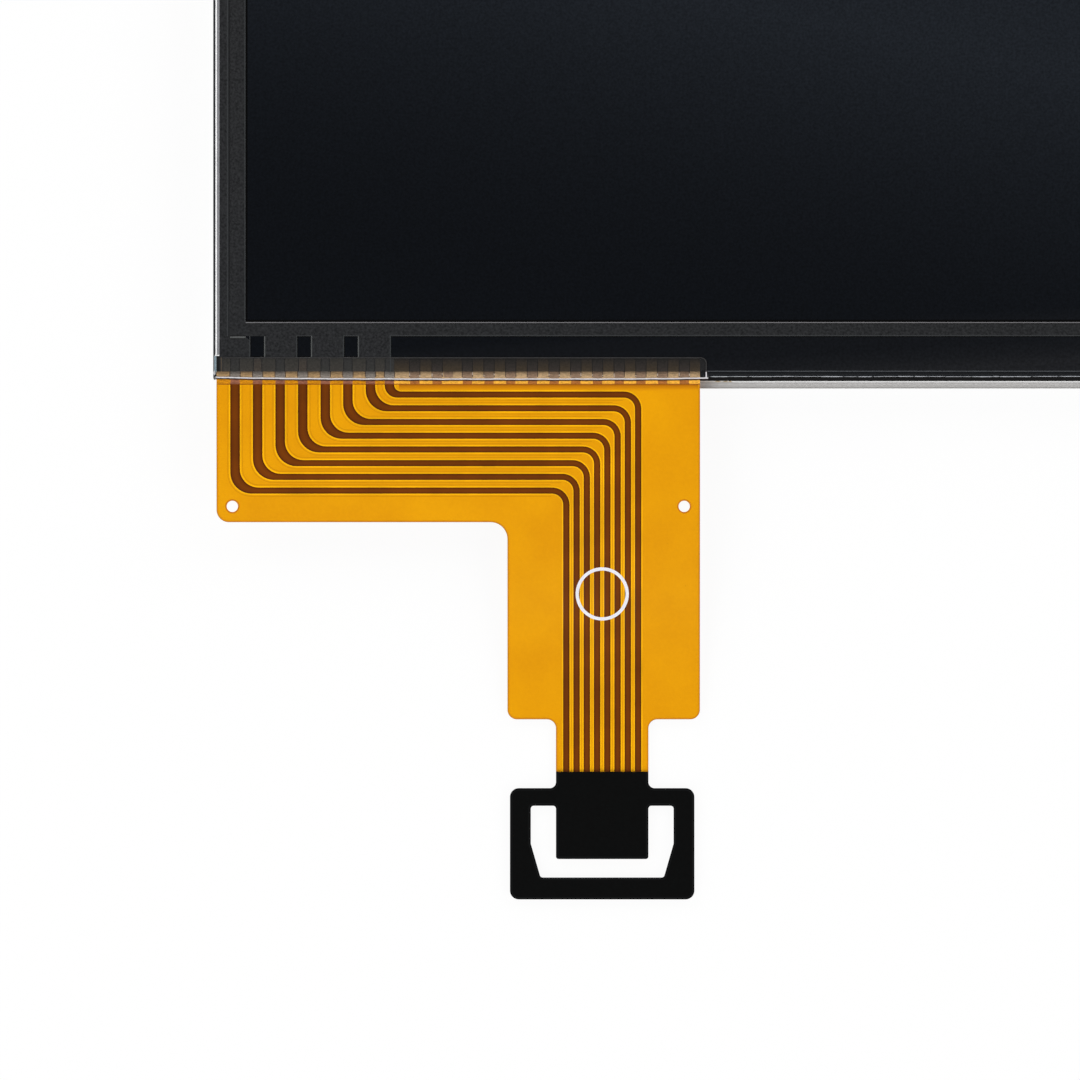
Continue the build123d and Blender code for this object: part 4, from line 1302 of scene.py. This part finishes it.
glass_edge = (glass_low.x + 0.03, glass_low.x + 0.24, glass_low.y + 0.48, bead_low)
block = (glass_low.x + 0.23, film_low.x + 0.1, film_low.y - 0.01, bead_low)
base_edge = (film_low.x + 0.13, film_low.x + 0.23, film_low.y, tail_top - 0.05)
bead_end = (glass_low.x + 0.08, film_low.x + 0.06, bead_low, bead_low + 0.12)
# A pale blue painted highlight on the glass edge at the corner.
tiles("glass_corner", [glass_edge], glass_high.z, 0.02, "glass_edge_highlight")
tiles("adhesive_block", [block], glass_high.z, film_top - glass_high.z + 0.01, "black_adhesive",
      0.03)
tiles("base_film_edge", [base_edge], ink_top, 0.003, "film_edge_tan")
tiles("sealant_ends", [bead_end], film_top, 0.015, "sealant_white")
blob("corner_sealant", (glass_low.x + 0.05, glass_low.y + 0.41), (0.12, 0.24), glass_high.z, 0.1,
     "sealant_and_corner_glint")
blob("corner_adhesive", (glass_low.x + 0.08, glass_low.y - 0.02), (0.145, 0.24),
     glass_high.z - 0.1, 0.2, "edge_shade_and_adhesive")
# A small painted highlight on the adhesive scrap.
blob("corner_glint", (glass_low.x + 0.12, glass_low.y - 0.05), (0.05, 0.12),
     glass_high.z + 0.07, 0.03, "sealant_and_corner_glint")

# %% [markdown]
# The lower edge of the glass is cut and ground, and small chips along it flash grey-white. They are
# many small flakes of random length and depth, drawn from a fixed seed so that every run is alike.

# %% Chipped lower edge of the glass
CHIP_STEPS = 6
CHIP_LENGTHS = (0.4, 2.6)
CHIP_DEPTHS = (0.045, 0.08)
CHIP_GAPS = [0.02, 0.03, 0.06, 0.15]
CHIP_INSET = 0.045
CHIP_DRIFT = (-0.015, 0.02)
CHIP_START = 0.35
CHIP_END = 0.6
chip_level = glass_high.z + 0.004
corners = []
faces = []
x = tape_high.x + CHIP_START
while x < glass_high.x - CHIP_END:
    length = random.uniform(*CHIP_LENGTHS)
    depth = random.uniform(*CHIP_DEPTHS)
    middle = glass_low.y + CHIP_INSET + random.uniform(*CHIP_DRIFT)
    start = len(corners)
    for k in range(CHIP_STEPS + 1):
        t = k / CHIP_STEPS
        half = depth / 2 * (0.6 + 0.4 * math.sin(math.pi * t)) * random.uniform(0.7, 1.3)
        corners += [(x + length * t, middle + side * half, chip_level) for side in (1, -1)]
    faces += [(start + 2 * k, start + 2 * k + 1, start + 2 * k + 3, start + 2 * k + 2)
              for k in range(CHIP_STEPS)]
    x += length + random.choice(CHIP_GAPS)
new_piece("glass_chips", mesh_of("glass_chips", corners, faces), "chipped_glass")
print("chipped the glass with", len(faces), "facets")

# %% [markdown]
# The tape's cut edges: a white line along its lower edge, where it ends over the tail, with its
# shadow beneath, a short line up its right side, and a faint one along its top, round the corner
# and down. The lower edge isn't straight: the tape was laid by hand and sags between its ends.

# %% Edges of the tape
TAPE_THICKNESS = 0.05
LINE_STEPS = 120
SAG = 0.18
SAG_LEFT = 6
SAG_RIGHT = 4
RIGHT_SHARE = 0.6
WAVES = ((0.008, 1.7), (0.006, 4.1))
LINE_RISE = 0.13
SIDE_STEPS = 12
SIDE_INSETS = (0.05, 0.03)
line_left, line_right = glass_low.x + 0.2, tape_high.x + 0.12
on_row = on_flat(row_level + TAPE_THICKNESS)


def tape_line(above):
    """Points along the tape's lower edge, which sags between its ends."""
    points = []
    for k in range(LINE_STEPS + 1):
        x = line_left + (line_right - line_left) * k / LINE_STEPS
        left_share = 1 - math.exp(-(x - line_left) / SAG_LEFT)
        right_share = 1 - RIGHT_SHARE * math.exp(-(line_right - x) / SAG_RIGHT)
        wave = sum(height * math.sin(x * pitch) for height, pitch in WAVES)
        y = tape_low.y + LINE_RISE + above + wave - SAG * left_share * right_share
        points.append(Vector((x, y)))
    return points


def faint_line(by):
    """Points along the tape's top and right edge, inside them by this much."""
    corners = [(tape_low.x + SEAM, tape_high.y - by), (tape_high.x - by, tape_high.y - by),
               (tape_high.x - by, film_low.y)]
    return guide(corners, [TAPE_CORNER - by], [40, 4])


def side_line(by):
    """Points up the tape's right edge, inside it by this much."""
    x = tape_high.x - by
    return line((x, tape_low.y + SIDE_INSETS[0]), (x, film_low.y - SIDE_INSETS[1]), SIDE_STEPS)


band("tape_edge", tape_line(-0.06), tape_line(0.065), (0.006, 0.012, 0.006), on_row,
     "tape_edge")
band("tape_shadow", tape_line(-0.17), tape_line(-0.05), (0.003, 0.003), on_row,
     "tape_shadow")
band("tape_side", side_line(0.13), side_line(0.01), [TAPE_THICKNESS + 0.005] * 2, on_tape,
     "tape_edge")
band("tape_edges_faint", faint_line(0.03), faint_line(0.13), [TAPE_TOP + 0.0045] * 2, on_tape,
     "tape_edge_faint")

# %% [markdown]
# Below the glass the lip of the steel bezel shows: black foam first, a bright line where the
# plate begins, which is a painted highlight and is painted lighter still against the shadow that
# the glass casts, a thin darker one, grey steel, and the darker fold, which is painted shade. A
# few flecks of old adhesive stick to it near the tail.

# %% Lip of the bezel
LIP_END = 2.0
LIP_STEPS = 40
FOLD_GAP = 0.05
FACE_GAP = 0.07
FOAM_EDGE = (0.075, 0.05)
GLINT_GAP = 3.1
GLINT_BAND = (0.24, 0.1)
FLECKS = ((1.75, 0.28), (2.5, 0.22), (2.95, 0.16))
FLECK_DROP = 0.13
HALF_FLECK = 0.06
lip_top = bezel_high.z
on_lip = on_flat(lip_top)
lip_right = bezel_high.x - LIP_END
foam = gasket_low.y


def lip_line(left, y):
    """Points along the lip."""
    return line((left, y), (lip_right, y), LIP_STEPS)


glint_left = tail_right + GLINT_GAP
# The lip's bands: a painted highlight by the foam, grey steel, and painted shade on the fold.
band("lip_face", lip_line(tail_right, bezel_low.y + FOLD_GAP),
     lip_line(tail_right, foam - FACE_GAP), (0.004, 0.004), on_lip, "lip_face")
foam_edge = (tail_right, lip_right, foam - FOAM_EDGE[0], foam + FOAM_EDGE[1])
tiles("foam_edge", [foam_edge], lip_top, 0.01, "black_foam", 0.005)
# A painted highlight along the top of the lip, from a little right of the tail.
lower, upper = (lip_line(glint_left, foam - drop) for drop in GLINT_BAND)
band("lip_glint", lower, upper, (0.008, 0.06), on_lip, "lip_glint")
for number, (along, wide) in enumerate(FLECKS):
    blob(f"lip_fleck_{number + 1}", (tail_right + along, foam - FLECK_DROP),
         (wide, HALF_FLECK), lip_top, 0.04, "sealant_fleck")

# %% [markdown]
# The part lies on a plain white floor. The floor is seen by the camera and by mirrors as nearly
# pure white, and it still darkens where the object touches it.

# %% Floor
FLOOR = 1.5
FLOOR_GAP = 0.02
GLOW_SHARE = 0.93
floor_mesh = bpy.data.meshes.new("floor")
floor_mesh.from_pydata(
    [(-FLOOR, -FLOOR, 0), (FLOOR, -FLOOR, 0), (FLOOR, FLOOR, 0), (-FLOOR, FLOOR, 0)], [],
    [(0, 1, 2, 3)],
)
floor = bpy.data.objects.new("floor", floor_mesh)
bpy.context.scene.collection.objects.link(floor)
floor.location.z = -FLOOR_GAP * MM
tree = new_tree("white_floor")
matte = add_node(tree, "BsdfDiffuse", {"Color": linear("#fafafa")})
glow = add_node(tree, "Emission", {"Color": (1, 1, 1, 1), "Strength": 1.0})
path = add_node(tree, "LightPath").outputs
seen = add_node(tree, "Math", {0: path["Is Camera Ray"], 1: path["Is Glossy Ray"]},
                operation="MAXIMUM")
seen = add_node(tree, "Math", {0: seen, 1: path["Is Transmission Ray"]}, operation="MAXIMUM")
share = add_node(tree, "Math", {0: seen, 1: GLOW_SHARE}, operation="MULTIPLY")
both = add_node(tree, "MixShader", {0: share, 1: matte, 2: glow})
add_node(tree, "OutputMaterial", {"Surface": both})
floor_mesh.materials.append(looks["white_floor"])

# %% [markdown]
# Soft light comes from four sides, so that the part has almost no shadow. The sky is dim straight
# above, where the camera hangs, because black glossy film mirrors whatever is there, and it is
# bright lower down.

# %% Sky and lamps
SKY_LOW, SKY_HIGH = 0.35, 0.6
SKY_BRIGHT, SKY_DIM = 0.6, 0.08
world = bpy.data.worlds.new("studio")
bpy.context.scene.world = world
world.use_nodes = True
tree = world.node_tree
tree.nodes.clear()
way = add_node(tree, "TexCoord").outputs["Generated"]
upward = add_node(tree, "SeparateXYZ", {"Vector": way}).outputs["Z"]
brightness = add_node(tree, "MapRange", {"Value": upward, "From Min": SKY_LOW,
                                         "From Max": SKY_HIGH, "To Min": SKY_BRIGHT,
                                         "To Max": SKY_DIM})
sky = add_node(tree, "Background", {"Color": (1, 1, 1, 1), "Strength": brightness})
white = add_node(tree, "Background", {"Color": (1, 1, 1, 1), "Strength": 1.0})
to_camera = add_node(tree, "LightPath").outputs["Is Camera Ray"]
shown = add_node(tree, "MixShader", {0: to_camera, 1: sky, 2: white})
add_node(tree, "OutputWorld", {"Surface": shown})

LAMP_SIZE = 0.5
LAMP_DISTANCE = 0.75
LAMP_POWER = 2.3
LAMP_RISE = math.radians(35)
for number, azimuth in enumerate((45, 135, 225, 315)):
    lamp_data = bpy.data.lights.new(f"softbox_{number + 1}", "AREA")
    lamp_data.shape = "SQUARE"
    lamp_data.size = LAMP_SIZE
    lamp_data.energy = LAMP_POWER
    lamp = bpy.data.objects.new(f"softbox_{number + 1}", lamp_data)
    bpy.context.scene.collection.objects.link(lamp)
    turn = math.radians(azimuth)
    direction = Vector((math.cos(turn) * math.cos(LAMP_RISE),
                        math.sin(turn) * math.cos(LAMP_RISE), math.sin(LAMP_RISE)))
    lamp.location = direction * LAMP_DISTANCE
    lamp.rotation_mode = "QUATERNION"
    lamp.rotation_quaternion = direction.to_track_quat("Z", "Y")

# %% [markdown]
# The camera looks straight down with a long lens, so that heights of a few millimetres don't shift
# anything. Its frame is 105.3 mm wide, with the panel's lower left corner where the photo has it.

# %% Camera
FRAME_WIDTH = 105.29
FRAME_MIDDLE = (-50.62, -64.77)
LENS = 1300.0
SENSOR = 36.0
camera_data = bpy.data.cameras.new("camera")
camera_data.lens = LENS
camera_data.sensor_width = SENSOR
camera_data.clip_end = 100.0
camera = bpy.data.objects.new("camera", camera_data)
bpy.context.scene.collection.objects.link(camera)
camera.location = (FRAME_MIDDLE[0] * MM, FRAME_MIDDLE[1] * MM,
                   FRAME_WIDTH * LENS / SENSOR * MM + film_top * MM)
bpy.context.scene.camera = camera
bpy.context.scene.view_settings.view_transform = "Standard"
